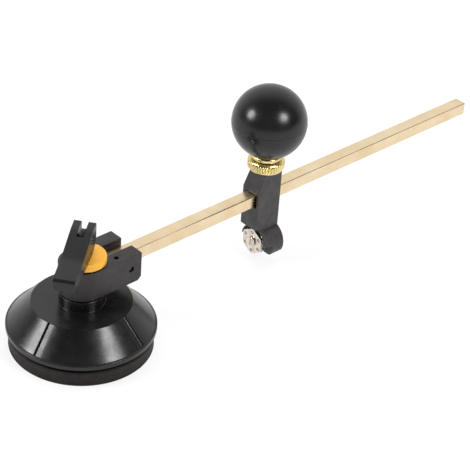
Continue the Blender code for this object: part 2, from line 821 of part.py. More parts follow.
def clamp_stud():
    start = SHOE_BOTTOM + SHOE_THICKNESS + GAP
    return rod("clamp_stud", STUD_RADIUS, (CARRIAGE_X, 0.0, start), STUD_TOP - start)


def clamp_nut(cutters):
    bore = STUD_HOLE_RADIUS
    core = NUT_RADIUS - KNURL_DEPTH
    flank = core - NUT_SHOULDER_IN
    knurl_top = NUT_HEIGHT - NUT_SHOULDER_HEIGHT
    right_angle = math.pi / 2
    shoulder = arc(
        (flank, knurl_top), NUT_SHOULDER_IN, right_angle, 0.0, SHOULDER_STEPS, NUT_SHOULDER_HEIGHT
    )
    foot = arc(
        (flank, NUT_FOOT_HEIGHT), NUT_SHOULDER_IN, 0.0, -right_angle, SHOULDER_STEPS, NUT_FOOT_HEIGHT
    )
    profile = [(0.0, NUT_HEIGHT), *shoulder, *foot, (0.0, 0.0)]
    part = turned("clamp_nut", profile, FINE_TURN)
    part.location = (CARRIAGE_X, 0.0, NUT_BOTTOM)
    outline = []
    for index in range(2 * KNURL_COUNT):
        angle = math.pi * index / KNURL_COUNT
        radius = NUT_RADIUS if index % 2 else core - KNURL_DEPTH / 2
        outline.append((radius * math.cos(angle), radius * math.sin(angle)))
    knurl = slab("nut_knurl", outline, knurl_top - NUT_FOOT_HEIGHT - KNURL_DEPTH)
    knurl.location = (CARRIAGE_X, 0.0, NUT_BOTTOM + (knurl_top + NUT_FOOT_HEIGHT) / 2)
    bore_core = rod(
        "nut_bore", bore, (CARRIAGE_X, 0.0, NUT_BOTTOM - CUT_PAST), NUT_HEIGHT + 2 * CUT_PAST
    )
    combine(part, knurl, "UNION", cutters)
    combine(part, bore_core, "DIFFERENCE", cutters)
    return part


def ball_ferrule():
    bore = STUD_HOLE_RADIUS
    flange_top = FERRULE_BOTTOM + FERRULE_THICKNESS
    profile = [
        (0.0, FERRULE_TOP),
        (FERRULE_SLEEVE_RADIUS, FERRULE_TOP),
        (FERRULE_SLEEVE_RADIUS, flange_top),
        (FERRULE_RADIUS, flange_top),
        (FERRULE_RADIUS, FERRULE_BOTTOM),
        (bore, FERRULE_BOTTOM),
        (bore, STUD_TOP + GAP),
        (0.0, STUD_TOP + GAP),
    ]
    part = turned("ball_ferrule", profile)
    part.location = (CARRIAGE_X, 0.0, 0.0)
    return part


def ball_knob():
    bore = FERRULE_SLEEVE_RADIUS + GAP
    flat = math.acos(BALL_FLAT_RADIUS / BALL_RADIUS)
    outside = arc((0.0, BALL_CENTRE), BALL_RADIUS, math.pi / 2, -flat, ARC_STEPS)
    profile = [
        (0.0, outside[0][1]),
        *outside[1:],
        (bore, BALL_FLAT),
        (bore, FERRULE_TOP + GAP),
        (0.0, FERRULE_TOP + GAP),
    ]
    part = turned("ball_knob", profile, PLAIN_TURN)
    part.location = (CARRIAGE_X, 0.0, 0.0)
    return part


# Turret

def wheel_angle(index):
    return -math.pi / 2 + math.tau * index / WHEEL_COUNT


def wheel_place(index, x):
    angle = wheel_angle(index)
    across = WHEEL_PITCH_RADIUS * math.cos(angle)
    up = WHEEL_PITCH_RADIUS * math.sin(angle)
    return (x, across, TURRET_HEIGHT + up)


def turret_disc(cutters):
    front = CARRIAGE_X - TURRET_FRONT
    outline = []
    for index in range(WHEEL_COUNT):
        angle = wheel_angle(index)
        nose = arc((0.0, 0.0), TURRET_RADIUS, angle - TURRET_NOSE, angle + TURRET_NOSE, NOSE_STEPS)
        outline.extend(nose)
    part = face_along_x(slab("turret_disc", outline, TURRET_THICKNESS))
    part.location = (front + TURRET_THICKNESS / 2, 0.0, TURRET_HEIGHT)
    middle = front + TURRET_THICKNESS / 2
    room = WHEEL_THICKNESS + 2 * GAP
    for index in range(WHEEL_COUNT):
        slot = rod(
            f"wheel_slot_{index + 1}",
            WHEEL_SLOT_RADIUS,
            wheel_place(index, middle - room / 2),
            room,
            "X",
        )
        combine(part, slot, "DIFFERENCE", cutters)
        hole = rod(
            f"axle_hole_{index + 1}",
            AXLE_RADIUS + GAP,
            wheel_place(index, front - CUT_PAST),
            TURRET_THICKNESS + 2 * CUT_PAST,
            "X",
            SMALL_TURN // 2,
        )
        combine(part, hole, "DIFFERENCE", cutters)
    centre = rod(
        "turret_bore",
        SCREW_SHANK_RADIUS + GAP,
        (front - CUT_PAST, 0.0, TURRET_HEIGHT),
        TURRET_THICKNESS + 2 * CUT_PAST,
        "X",
    )
    combine(part, centre, "DIFFERENCE", cutters)
    return part


def wheel(index):
    bore = AXLE_RADIUS + GAP
    half = WHEEL_THICKNESS / 2
    side = WHEEL_RADIUS - WHEEL_BEVEL
    profile = [(bore, half), (side, half), (WHEEL_RADIUS, 0.0), (side, -half), (bore, -half)]
    part = aim(turned(f"cutting_wheel_{index + 1}", profile, SMALL_TURN, ring=True), "X")
    part.location = wheel_place(index, CARRIAGE_X - TURRET_FRONT + TURRET_THICKNESS / 2)
    return part


def wheel_axle(index):
    start = CARRIAGE_X - TURRET_FRONT
    return rod(
        f"wheel_axle_{index + 1}",
        AXLE_RADIUS,
        wheel_place(index, start),
        TURRET_THICKNESS,
        "X",
        SMALL_TURN // 2,
    )


def turret_washer():
    part = flat_ring(
        "turret_washer",
        SCREW_SHANK_RADIUS + GAP,
        SPRING_WASHER_RADIUS,
        -SPRING_WASHER_THICKNESS,
        SPRING_WASHER_THICKNESS,
    )
    aim(part, "X")
    part.location = (CARRIAGE_X - POCKET_FLOOR - GAP, 0.0, TURRET_HEIGHT)
    return part


def turret_screw(cutters):
    front = CARRIAGE_X - TURRET_FRONT - GAP
    end = CARRIAGE_X - POCKET_FLOOR + SCREW_DEPTH
    length = end - front
    profile = [
        (0.0, length),
        (SCREW_SHANK_RADIUS, length),
        (SCREW_SHANK_RADIUS, 0.0),
        (SCREW_HEAD_RADIUS, 0.0),
        (SCREW_HEAD_RADIUS, SCREW_HEAD_BEVEL - SCREW_HEAD_HEIGHT),
        (SCREW_HEAD_RADIUS - SCREW_HEAD_BEVEL, -SCREW_HEAD_HEIGHT),
        (0.0, -SCREW_HEAD_HEIGHT),
    ]
    part = aim(turned("turret_screw", profile, SMALL_TURN), "X")
    part.location = (front, 0.0, TURRET_HEIGHT)
    head_front = front - SCREW_HEAD_HEIGHT
    slot = block(
        "screw_slot",
        (head_front - CUT_PAST, -SCREW_SLOT_WIDTH / 2, TURRET_HEIGHT - 2 * SCREW_HEAD_RADIUS),
        (head_front + SCREW_SLOT_DEPTH, SCREW_SLOT_WIDTH / 2, TURRET_HEIGHT + 2 * SCREW_HEAD_RADIUS),
    )
    combine(part, slot, "DIFFERENCE", cutters)
    return part


def build():
    clear_scene()
    model = new_collection("circle_cutter")
    cutters = new_collection("cutters")
    paints = all_materials()
    pieces = [
        (base_housing(cutters), "gloss_black"),
        (suction_pad(), "rubber"),
        (retaining_cap(cutters), "yellow"),
        (swivel_washer(), "satin_black"),
        (pull_stem(cutters), "satin_black"),
        (lever(cutters), "satin_black"),
        (lever_pin(), "steel"),
        (swivel_head(cutters), "satin_black"),
        (beam(cutters), "brass"),
        (beam_pin(), "steel"),
        (carriage_body(cutters), "cast_black"),
        (clamp_shoe(), "brass"),
        (clamp_stud(), "steel"),
        (clamp_nut(cutters), "brass"),
        (ball_ferrule(), "brass"),
        (ball_knob(), "gloss_black"),
        (turret_disc(cutters), "nickel"),
        (turret_washer(), "steel"),
        (turret_screw(cutters), "nickel"),
    ]
    for index in range(WHEEL_COUNT):
        pieces.append((wheel(index), "carbide"))
        pieces.append((wheel_axle(index), "steel"))
    for part, paint in pieces:
        finish(part, model, paints[paint], SMOOTH)


build()
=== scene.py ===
import math

import bmesh
import bpy
from mathutils import Matrix, Vector


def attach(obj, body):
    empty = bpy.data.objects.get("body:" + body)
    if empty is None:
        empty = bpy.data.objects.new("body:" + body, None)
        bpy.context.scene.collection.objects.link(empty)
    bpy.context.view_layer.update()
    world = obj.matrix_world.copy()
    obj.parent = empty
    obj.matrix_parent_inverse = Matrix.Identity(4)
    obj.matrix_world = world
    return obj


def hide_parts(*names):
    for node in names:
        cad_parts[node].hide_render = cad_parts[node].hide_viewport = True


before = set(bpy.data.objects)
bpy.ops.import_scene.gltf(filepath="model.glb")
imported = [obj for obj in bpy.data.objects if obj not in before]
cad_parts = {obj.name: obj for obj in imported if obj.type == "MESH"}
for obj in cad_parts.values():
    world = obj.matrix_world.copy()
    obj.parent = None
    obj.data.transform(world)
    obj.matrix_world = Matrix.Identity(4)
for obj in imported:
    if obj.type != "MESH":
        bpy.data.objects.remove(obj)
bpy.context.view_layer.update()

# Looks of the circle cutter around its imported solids. Metres, +Z up, the pivot axis at the
# origin and the beam along +X. Each piece stands where its solid stands.

# Modelling
MERGE = 0.0000005
CUT_PAST = 0.002
ROUND_STEPS = 4
FINE = 192
MEDIUM = 96
SMALL = 48
EDGE_STEPS = 3
SMOOTH = math.radians(34)
BEVEL_ANGLE = math.radians(30)
RIGHT_ANGLE = math.pi / 2
GAP = 0.0003

# Suction pad
PAD_RADIUS = 0.0310
PAD_FOOT_RADIUS = 0.0303
PAD_NECK_RADIUS = 0.0282
PAD_WALL_TOP = 0.0069
PAD_TOP = 0.0099
PAD_INNER = 0.0242
PAD_BOSS_RADIUS = 0.0130
PAD_BOSS_TOP = 0.0130
PAD_WEB = 0.0080
PAD_BORE = 0.0033
PAD_PLATE_ROOM = 0.0089
PAD_FLOOR = 0.0024
PAD_LIP_BOTTOM = 0.0080
PAD_LIP = 0.0012
PAD_LIP_OUT = 0.0003
PAD_TOP_ROUND = 0.0007
PAD_ROUND = 0.0003
PAD_RING_HEIGHT = 0.0038
PAD_RING_DEPTH = 0.00008
PAD_RING_HALF = 0.0002

# Housing
CONE_FOOT_RADIUS = 0.0310
CROWN_RADIUS = 0.0212
RIM_RADIUS = 0.0317
RIM_BOTTOM = 0.0087
RIM_TOP = 0.0109
CROWN_HEIGHT = 0.0216
NECK_RADIUS = 0.0098
NECK_TOP = 0.0265
HUB_RADIUS = 0.0070
HUB_TOP = 0.0410
BOSS_RADIUS = 0.0052
BOSS_TOP = 0.0434
BORE_RADIUS = 0.0033
GUIDE_RADIUS = 0.0063
GUIDE_BOTTOM = 0.0140
CEILING = 0.0191
INNER_CROWN = 0.0201
INNER_FOOT = 0.0279
SKIRT_RADIUS = 0.0285
SKIRT_STEP = 0.0102
CROWN_ROUND = 0.00035
RIM_ROUND = 0.0006
LEDGE_ROUND = 0.0004
NECK_FILLET = 0.0003
NECK_ROUND = 0.0004
GROOVE_COUNT = 4
GROOVE_HALF = 0.00115
GROOVE_DEPTH = 0.0009
GROOVE_LIP = 0.00028
GROOVE_AZIMUTH = math.radians(15)
GROOVE_RAMP_SHARE = 0.05
GROOVE_EDGE_SHARE = 0.25
GROOVE_WALL_SHARE = 0.9
SECTOR_STEPS = 46
CONE_NEAR = 0.0001

# Cap
CAP_RADIUS = 0.0091
CAP_OFFSET = 0.0009
CAP_AZIMUTH = math.radians(-45)
CAP_BOTTOM = 0.0413
CAP_TOP = 0.0445
CAP_CROWN = 0.0004
CAP_DOME_SHARE = 0.8
CAP_DOME_ROUND = 0.0166
CAP_ROUND = 0.0010
CAP_FOOT_ROUND = 0.0003
CAP_RECESS = 0.0055
CAP_RECESS_TOP = 0.0437

# Washer under the head
WASHER_OUT = 0.0093
WASHER_IN = 0.0073
WASHER_BOTTOM = 0.0268
WASHER_TOP = 0.0273
WASHER_ROUND = 0.0001

# Head
HEAD_RADIUS = 0.0101
HEAD_BORE = 0.0073
HEAD_BOTTOM = 0.0276
HEAD_TOP = 0.0410
ARM_END = 0.0232
ARM_CORNER_CUT = 0.0016
SOCKET_START = 0.0082
SOCKET_HALF = 0.0033
BRIDGE_END = 0.0106
BEAM_BOTTOM = 0.0316
BEAM_TOP = 0.0376
ARM_PIN_X = 0.0178
ARM_PIN_HOLE = 0.0013
ARM_PIN_RADIUS = 0.0010
ARM_PIN_REACH = 0.0093
MARK_HOLE_X = 0.0122
MARK_HOLE_Y = -0.0067
MARK_HOLE_RADIUS = 0.0011
MARK_HOLE_DEPTH = 0.0030
HEAD_EDGE = 0.00035

# Stem, lever and pin
STEM_RADIUS = 0.0030
STEM_PLATE_RADIUS = 0.0086
STEM_PLATE_BOTTOM = 0.0052
STEM_PLATE_TOP = 0.0077
STEM_TOP = 0.0445
STEM_ROUND = 0.0005
TONGUE_THICKNESS = 0.0015
TONGUE_HALF = 0.0028
TONGUE_RISE = 0.0008
LEVER_AZIMUTH = math.radians(217.5)
LEVER_WIDTH = 0.0093
LEVER_SIDE_PLAY = 0.0004
LEVER_SLOT_END = 0.0039
LEVER_TOP = 0.0043
LEVER_TOP_SAG = 0.0006
LEVER_REACH = 0.0288
LEVER_TIP_HEIGHT = 0.0058
LEVER_TIP_ROUND = 0.0014
LEVER_FOOT_ROUND = 0.0007
LEVER_WAIST = 0.0160
LEVER_WAIST_HEIGHT = 0.0066
LEVER_BEND = 0.020
LEVER_HEEL_ROUND = 0.0009
LEVER_EDGE = 0.0003
LEVER_STEPS = 8
CAM_CLOSED = 0.0075
CAM_FALL = 0.0017
CAM_STEPS = 32
PIN_HEIGHT = 0.0527
PIN_RADIUS = 0.0011
PIN_HOLE = 0.0014
PIN_LENGTH = 0.0088
PIN_ROUND = 0.0002

# Beam
BEAM_START = 0.0085
BEAM_END = 0.2343
BEAM_HALF = 0.0030
BEAM_MIDDLE = 0.0346
BEAM_ROUND = 0.00045
BEAM_END_EDGE = 0.0003

# Carriage
CARRIAGE_X = 0.1022
COLUMN_FRONT = 0.0942
COLUMN_BACK = 0.1076
COLUMN_HALF = 0.0050
COLUMN_FOOT = 0.0200
COLUMN_TOP = 0.0478
COLUMN_CHAMFER_START = 0.0395
COLUMN_CHAMFER_END = 0.0984
COLUMN_EDGE = 0.0004
PASSAGE_LEFT = -0.0039
PASSAGE_RIGHT = 0.0033
PASSAGE_BOTTOM = 0.0313
PASSAGE_TOP = 0.0379
STUD_HOLE = 0.00275
LUG_RADIUS = 0.0086
LUG_OFFSET = -0.0012
LUG_FRONT = 0.0978
LUG_BOTTOM = 0.0060
LUG_CORNER = 0.0022
POCKET_FLOOR = 0.1010
POCKET_RADIUS = 0.0070
POCKET_OPEN = 0.0119
TURRET_HEIGHT = 0.0109
TURRET_RADIUS = 0.00635
SCREW_HOLE = 0.0018
SCREW_HOLE_END = 0.1053

# Clamp
SHOE_RADIUS = 0.0023
SHOE_BOTTOM = 0.0379
SHOE_TOP = 0.0392
SHOE_ROUND = 0.0002
STUD_RADIUS = 0.00245
STUD_BOTTOM = 0.0395
STUD_TOP = 0.0660
THREAD_PITCH = 0.0008
THREAD_DEPTH = 0.00022
THREAD_STEPS = 24
THREAD_ROWS = 8
NUT_BOTTOM = 0.0481
NUT_TOP = 0.0533
NUT_RADIUS = 0.0083
NUT_CORE = 0.0079
NUT_SHOULDER = 0.0010
NUT_FOOT = 0.0011
NUT_BORE = 0.00275
NUT_BORE_ROUND = 0.0004
NUT_STEPS = 6
KNURL_LOW = 0.0494
KNURL_HIGH = 0.0524
KNURL_RAMP = 0.0003
KNURL_COUNT = 40
KNURL_DEPTH = 0.0006
KNURL_STEPS = 8
KNURL_POWER = 1.5
FERRULE_RADIUS = 0.0069
FERRULE_SLEEVE = 0.0040
FERRULE_BOTTOM = 0.0536
FERRULE_FLANGE_TOP = 0.0557
FERRULE_TOP = 0.0700
FERRULE_BORE_TOP = 0.0663
FERRULE_ROUND = 0.0007
FERRULE_EDGE = 0.0003
BALL_RADIUS = 0.0166
BALL_CENTRE = 0.071317
BALL_FLAT = 0.0560
BALL_FLAT_RADIUS = 0.0064
BALL_BORE = 0.0043
BALL_BORE_TOP = 0.0703
BALL_STEPS = 64
SEAM_HEIGHT = 0.00008
SEAM_HALF = math.radians(0.55)
MARK_AZIMUTH = math.radians(-160)
MARK_DROP = 0.0021
MARK_SIZE = 0.0011
MARK_DEPTH = 0.0004
MARK_FLOOR_SHARE = 0.3
SCRATCH_HALF = 0.0002

# Turret
TURRET_FRONT = 0.0972
TURRET_BACK = 0.1000
TURRET_NOSE = math.radians(5)
TURRET_NOSE_STEPS = 4
TURRET_EDGE = 0.00022
WHEEL_COUNT = 6
WHEEL_PITCH = 0.00475
WHEEL_RADIUS = 0.0018
WHEEL_SLOT_RADIUS = 0.0021
WHEEL_HALF = 0.0003
WHEEL_SLOT_HALF = 0.0006
WHEEL_LAND = 0.0014
WHEEL_BORE = 0.00075
AXLE_RADIUS = 0.00045
AXLE_HOLE = 0.00075
AXLE_DOME = 0.00012
SPRING_RADIUS = 0.00615
SPRING_FRONT = 0.1003
SPRING_BACK = 0.1007
SCREW_RADIUS = 0.0015
SCREW_HEAD_RADIUS = 0.0023
SCREW_HEAD_FRONT = 0.0962
SCREW_HEAD_BACK = 0.0969
SCREW_HEAD_ROUND = 0.0003
SCREW_END_ROUND = 0.0002
SCREW_STEP_ROUND = 0.0001
SCREW_EDGE = 0.00005
SCREW_END = 0.1050
SCREW_SLOT_HALF = 0.0003
SCREW_SLOT_DEPTH = 0.0003

# Finishes
RANGE_SOCKETS = ("From Min", "From Max", "To Min", "To Max")
NOISE_SPAN = (0.3, 0.7)
USUAL_SPECULAR = 0.5
CAST_LUMPS = (500.0, 4.0)
CAST_RELIEF = 0.00008
BRASS_COLOUR = (0.86, 0.66, 0.33)
BRASS_ROUGHNESS = 0.28
BRASS_CLOUDS = (90.0, 4.0)
BRASS_LINE_DETAIL = 3.0
BRASS_SHINE = (0.2, 0.38)
METAL_SPAN = (0.35, 0.7)
METAL_SCALE = 900.0
METAL_DETAIL = 4.0
METAL_SMOOTH_SHARE = 0.8
METAL_DULL_SHARE = 1.3
METAL_RELIEF = 0.00001

# Stage, light and camera
FLOOR_HALF = 4.0
FLOOR_DROP = 0.0001
FLOOR_COLOUR = (0.92, 0.92, 0.92)
FLOOR_ROUGHNESS = 0.9
FLOOR_WHITE_SHARE = 0.78
LAMP_TARGET = Vector((0.09, 0.0, 0.04))
WHITE = (1.0, 1.0, 1.0, 1.0)
ROOM_BACK = (0.705, 0.709, 0.0)
ROOM_SPREAD = (0.0, 0.65, 0.08, 1.0)
CAMERA_PLACE = (-0.36506648, -0.45425941, 0.44507326)
CAMERA_AHEAD = (0.5867, 0.5904, -0.5543)
CAMERA_SIDE = (0.7364, -0.6738, 0.0618)
SENSOR_WIDTH = 36.0
LENS = 132.6491
CLIP_START = 0.01


# Shapes

def rounded(points, closed=False, steps=ROUND_STEPS):
    """Rounds the corners of a line of (x, y) or (x, y, radius) points."""
    line = []
    last = len(points) - 1
    for index, point in enumerate(points):
        here = Vector(point[:2])
        radius = point[2] if len(point) > 2 else 0.0
        if radius == 0.0 or (not closed and index in (0, last)):
            line.append(here)
            continue
        back = (Vector(points[index - 1][:2]) - here).normalized()
        ahead = (Vector(points[(index + 1) % len(points)][:2]) - here).normalized()
        half = back.angle(ahead) / 2
        centre = here + (back + ahead).normalized() * radius / math.sin(half)
        first = (here + back * radius / math.tan(half) - centre).normalized()
        final = (here + ahead * radius / math.tan(half) - centre).normalized()
        line.extend(
            centre + first.slerp(final, step / steps) * radius for step in range(steps + 1)
        )
    return line


def to_object(name, shape):
    mesh = bpy.data.meshes.new(name)
    shape.to_mesh(mesh)
    shape.free()
    piece = bpy.data.objects.new(name, mesh)
    bpy.context.scene.collection.objects.link(piece)
    return piece


def net(name, rows, loop=False):
    """A skin over rows of points. Each row is a ring, and the rows close on themselves too
    if loop is true."""
    shape = bmesh.new()
    made = [[shape.verts.new(point) for point in row] for row in rows]
    pairs = list(zip(made, made[1:]))
    if loop:
        pairs.append((made[-1], made[0]))
    for low, high in pairs:
        for index in range(len(low)):
            after = (index + 1) % len(low)
            shape.faces.new((low[index], low[after], high[after], high[index]))
    bmesh.ops.remove_doubles(shape, verts=shape.verts, dist=MERGE)
    bmesh.ops.recalc_face_normals(shape, faces=shape.faces)
    return to_object(name, shape)


def ring_row(radius, height, steps, centre=0.0):
    return [
        (
            centre + radius * math.cos(math.tau * index / steps),
            radius * math.sin(math.tau * index / steps),
            height,
        )
        for index in range(steps)
    ]


def turned(name, profile, steps, ring=False, centre=0.0):
    """A turned piece from (radius, height, corner radius) points."""
    rows = [ring_row(radius, height, steps, centre) for radius, height in rounded(profile, ring)]
    return net(name, rows, ring)


def prism(name, outline, thickness):
    """A closed outline in the XY plane, half of the thickness on each side of it."""
    shape = bmesh.new()
    face = shape.faces.new([shape.verts.new((x, y, -thickness / 2)) for x, y in outline])
    grown = bmesh.ops.extrude_face_region(shape, geom=[face])["geom"]
    top = [item for item in grown if isinstance(item, bmesh.types.BMVert)]
    bmesh.ops.translate(shape, vec=(0.0, 0.0, thickness), verts=top)
    bmesh.ops.recalc_face_normals(shape, faces=shape.faces)
    return to_object(name, shape)


def block(low, high):
    shape = bmesh.new()
    bmesh.ops.create_cube(shape, size=1.0)
    low, high = Vector(low), Vector(high)
    bmesh.ops.scale(shape, vec=high - low, verts=shape.verts)
    bmesh.ops.translate(shape, vec=(low + high) / 2, verts=shape.verts)
    return to_object("cutter", shape)


ALONG_X = Matrix.Rotation(RIGHT_ANGLE, 4, "Y")
ALONG_Y = Matrix.Rotation(-RIGHT_ANGLE, 4, "X")
FACE_X = Matrix.Rotation(RIGHT_ANGLE, 4, "Z") @ Matrix.Rotation(RIGHT_ANGLE, 4, "X")
STAND = Matrix.Rotation(RIGHT_ANGLE, 4, "X")
PIN_FRAME = (
    Matrix.Translation((0.0, 0.0, PIN_HEIGHT)) @ Matrix.Rotation(LEVER_AZIMUTH, 4, "Z") @ STAND
)
LEVER_FRAME = PIN_FRAME @ Matrix.Translation((0.0, 0.0, LEVER_SIDE_PLAY))


def moved(piece, matrix):
    piece.data.transform(matrix)
    piece.data.update()
    return piece


def drill(radius, start, length, turn=Matrix.Identity(4), steps=SMALL):
    """A round cutter from a point along +Z, or along the axis that the turn gives."""
    tool = turned("cutter", [(0.0, 0.0), (radius, 0.0), (radius, length), (0.0, length)], steps)
    return moved(tool, Matrix.Translation(start) @ turn)


def settled(piece):
    """Turns the piece's modifiers into plain mesh."""
    bpy.context.view_layer.update()
    graph = bpy.context.evaluated_depsgraph_get()
    mesh = bpy.data.meshes.new_from_object(piece.evaluated_get(graph))
    piece.modifiers.clear()
    old = piece.data
    piece.data = mesh
    bpy.data.meshes.remove(old)
    return piece


def combined(piece, tool, operation="DIFFERENCE"):
    step = piece.modifiers.new("shape", "BOOLEAN")
    step.operation = operation
    step.solver = "EXACT"
    step.object = tool
    settled(piece)
    bpy.data.objects.remove(tool, do_unlink=True)


def eased(piece, width, steps=EDGE_STEPS):
    step = piece.modifiers.new("edges", "BEVEL")
    step.width = width
    step.segments = steps
    step.limit_method = "ANGLE"
    step.angle_limit = BEVEL_ANGLE
    step.use_clamp_overlap = True
    return settled(piece)


def dressed(piece, body, nodes, finish):
    """Shades the piece, gives it its finish, and sets it on its body for the solids that it
    stands for."""
    piece.data.shade_smooth()
    piece.data.set_sharp_from_angle(angle=SMOOTH)
    weights = piece.modifiers.new("normals", "WEIGHTED_NORMAL")
    weights.keep_sharp = True
    piece.data.materials.clear()
    piece.data.materials.append(finish)
    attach(piece, body)
    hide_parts(*nodes)
    return piece


# Finishes

def new_finish(name, colour, roughness, metallic=0.0):
    finish = bpy.data.materials.new(name)
    finish.use_nodes = True
    shader = finish.node_tree.nodes["Principled BSDF"]
    shader.inputs["Base Color"].default_value = (*colour, 1.0)
    shader.inputs["Roughness"].default_value = roughness
    shader.inputs["Metallic"].default_value = metallic
    return finish


def noise(finish, scale, detail, stretch=(1.0, 1.0, 1.0)):
    """The output of a noise texture fixed to the piece."""
    nodes, links = finish.node_tree.nodes, finish.node_tree.links
    where = nodes.new("ShaderNodeTexCoord")
    mapping = nodes.new("ShaderNodeMapping")
    mapping.inputs["Scale"].default_value = stretch
    texture = nodes.new("ShaderNodeTexNoise")
    texture.inputs["Scale"].default_value = scale
    texture.inputs["Detail"].default_value = detail
    links.new(where.outputs["Object"], mapping.inputs["Vector"])
    links.new(mapping.outputs["Vector"], texture.inputs["Vector"])
    return texture.outputs["Fac"]


def ranged(finish, value, low, high, out_low, out_high):
    nodes, links = finish.node_tree.nodes, finish.node_tree.links
    node = nodes.new("ShaderNodeMapRange")
    for name, number in zip(RANGE_SOCKETS, (low, high, out_low, out_high)):
        node.inputs[name].default_value = number
    links.new(value, node.inputs["Value"])
    return node.outputs["Result"]


def tinted(finish, value, tints, span=NOISE_SPAN):
    """Base colour that runs between two tints as the value runs through the span."""
    nodes, links = finish.node_tree.nodes, finish.node_tree.links
    node = nodes.new("ShaderNodeMix")
    node.data_type = "RGBA"
    node.inputs["A"].default_value = (*tints[0], 1.0)
    node.inputs["B"].default_value = (*tints[1], 1.0)
    links.new(ranged(finish, value, *span, 0.0, 1.0), node.inputs["Factor"])
    links.new(node.outputs["Result"], nodes["Principled BSDF"].inputs["Base Color"])


def rough(finish, value, shine):
    """Roughness between the two numbers of the shine."""
    tree = finish.node_tree
    spread = ranged(finish, value, *NOISE_SPAN, *shine)
    tree.links.new(spread, tree.nodes["Principled BSDF"].inputs["Roughness"])


def bumped(finish, value, height):
    """Adds relief to any that the finish already has."""
    nodes, links = finish.node_tree.nodes, finish.node_tree.links
    normal = nodes["Principled BSDF"].inputs["Normal"]
    node = nodes.new("ShaderNodeBump")
    node.inputs["Distance"].default_value = height
    links.new(value, node.inputs["Height"])
    if normal.is_linked:
        links.new(normal.links[0].from_socket, node.inputs["Normal"])
    links.new(node.outputs["Normal"], normal)


def coated(
    name, colour, roughness, tints, clouds, shine, haze, grain, relief,
    specular=USUAL_SPECULAR, span=NOISE_SPAN,
):
    """A finish for plastic, paint or rubber. Clouds, haze and grain are the scale and the
    detail of the noise in its colour, in its shine and in its relief."""
    finish = new_finish(name, colour, roughness)
    shader = finish.node_tree.nodes["Principled BSDF"]
    shader.inputs["Specular IOR Level"].default_value = specular
    tinted(finish, noise(finish, *clouds), tints, span)
    rough(finish, noise(finish, *haze), shine)
    bumped(finish, noise(finish, *grain), relief)
    return finish


def gloss_black(name, smooth, dull):
    return coated(
        name,
        colour=(0.007, 0.007, 0.007),
        roughness=dull,
        tints=((0.005, 0.005, 0.005), (0.010, 0.010, 0.011)),
        clouds=(60.0, 3.0),
        shine=(smooth, dull),
        haze=(220.0, 6.0),
        grain=(180.0, 2.0),
        relief=0.00002,
        specular=0.42,
    )


def measured(finish, operation, place, other):
    """A number from the piece's coordinates, such as a distance or a dot product, after they
    are counted from a place on it."""
    nodes, links = finish.node_tree.nodes, finish.node_tree.links
    where = nodes.new("ShaderNodeTexCoord")
    away = nodes.new("ShaderNodeVectorMath")
    away.operation = "SUBTRACT"
    away.inputs[1].default_value = place
    node = nodes.new("ShaderNodeVectorMath")
    node.operation = operation
    if other is not None:
        node.inputs[1].default_value = other
    links.new(where.outputs["Object"], away.inputs[0])
    links.new(away.outputs["Vector"], node.inputs[0])
    return node.outputs["Value"]


def merged(finish, operation, first, second):
    nodes, links = finish.node_tree.nodes, finish.node_tree.links
    node = nodes.new("ShaderNodeMath")
    node.operation = operation
    for value, socket in ((first, node.inputs[0]), (second, node.inputs[1])):
        if isinstance(value, float):
            socket.default_value = value
        else:
            links.new(value, socket)
    return node.outputs["Value"]


def ball_black():
    """The ball's gloss, with a small mould mark on its side and a scratch from there down."""
    finish = gloss_black("ball_gloss_black", 0.22, 0.30)
    middle = Vector((CARRIAGE_X, 0.0, BALL_CENTRE))
    out = Vector((math.cos(MARK_AZIMUTH), math.sin(MARK_AZIMUTH), 0.0))
    level = math.sqrt(BALL_RADIUS ** 2 - MARK_DROP ** 2)
    mark = middle + out * level - Vector((0.0, 0.0, MARK_DROP))
    distance = measured(finish, "LENGTH", mark, None)
    pit = ranged(finish, distance, MARK_SIZE * MARK_FLOOR_SHARE, MARK_SIZE, 0.0, 1.0)
    sideways = measured(finish, "DOT_PRODUCT", middle, (-out.y, out.x, 0.0))
    beside = merged(finish, "ABSOLUTE", sideways, 0.0)
    line = ranged(finish, beside, 0.0, SCRATCH_HALF, 0.0, 1.0)
    height = measured(finish, "DOT_PRODUCT", mark, (0.0, 0.0, 1.0))
    above = ranged(finish, height, -MARK_SIZE / 4, MARK_SIZE / 4, 0.0, 1.0)
    backward = measured(finish, "DOT_PRODUCT", middle, -out)
    behind = ranged(finish, backward, 0.0, MARK_SIZE, 0.0, 1.0)
    scratch = merged(finish, "MAXIMUM", merged(finish, "MAXIMUM", line, above), behind)
    bumped(finish, merged(finish, "MINIMUM", pit, scratch), MARK_DEPTH)
    return finish


def brass(name, tints, stretch, scale):
    finish = new_finish(name, BRASS_COLOUR, BRASS_ROUGHNESS, 1.0)
    tinted(finish, noise(finish, *BRASS_CLOUDS), tints)
    lines = noise(finish, scale, BRASS_LINE_DETAIL, stretch)
    rough(finish, lines, BRASS_SHINE)
    bumped(finish, lines, METAL_RELIEF)
    return finish


def bare_metal(name, colour, darker, roughness, scale=METAL_SCALE):
    finish = new_finish(name, colour, roughness, 1.0)
    marks = noise(finish, scale, METAL_DETAIL)
    tinted(finish, marks, (darker, colour), METAL_SPAN)
    shine = (roughness * METAL_SMOOTH_SHARE, roughness * METAL_DULL_SHARE)
    rough(finish, marks, shine)
    bumped(finish, marks, METAL_RELIEF)
    return finish


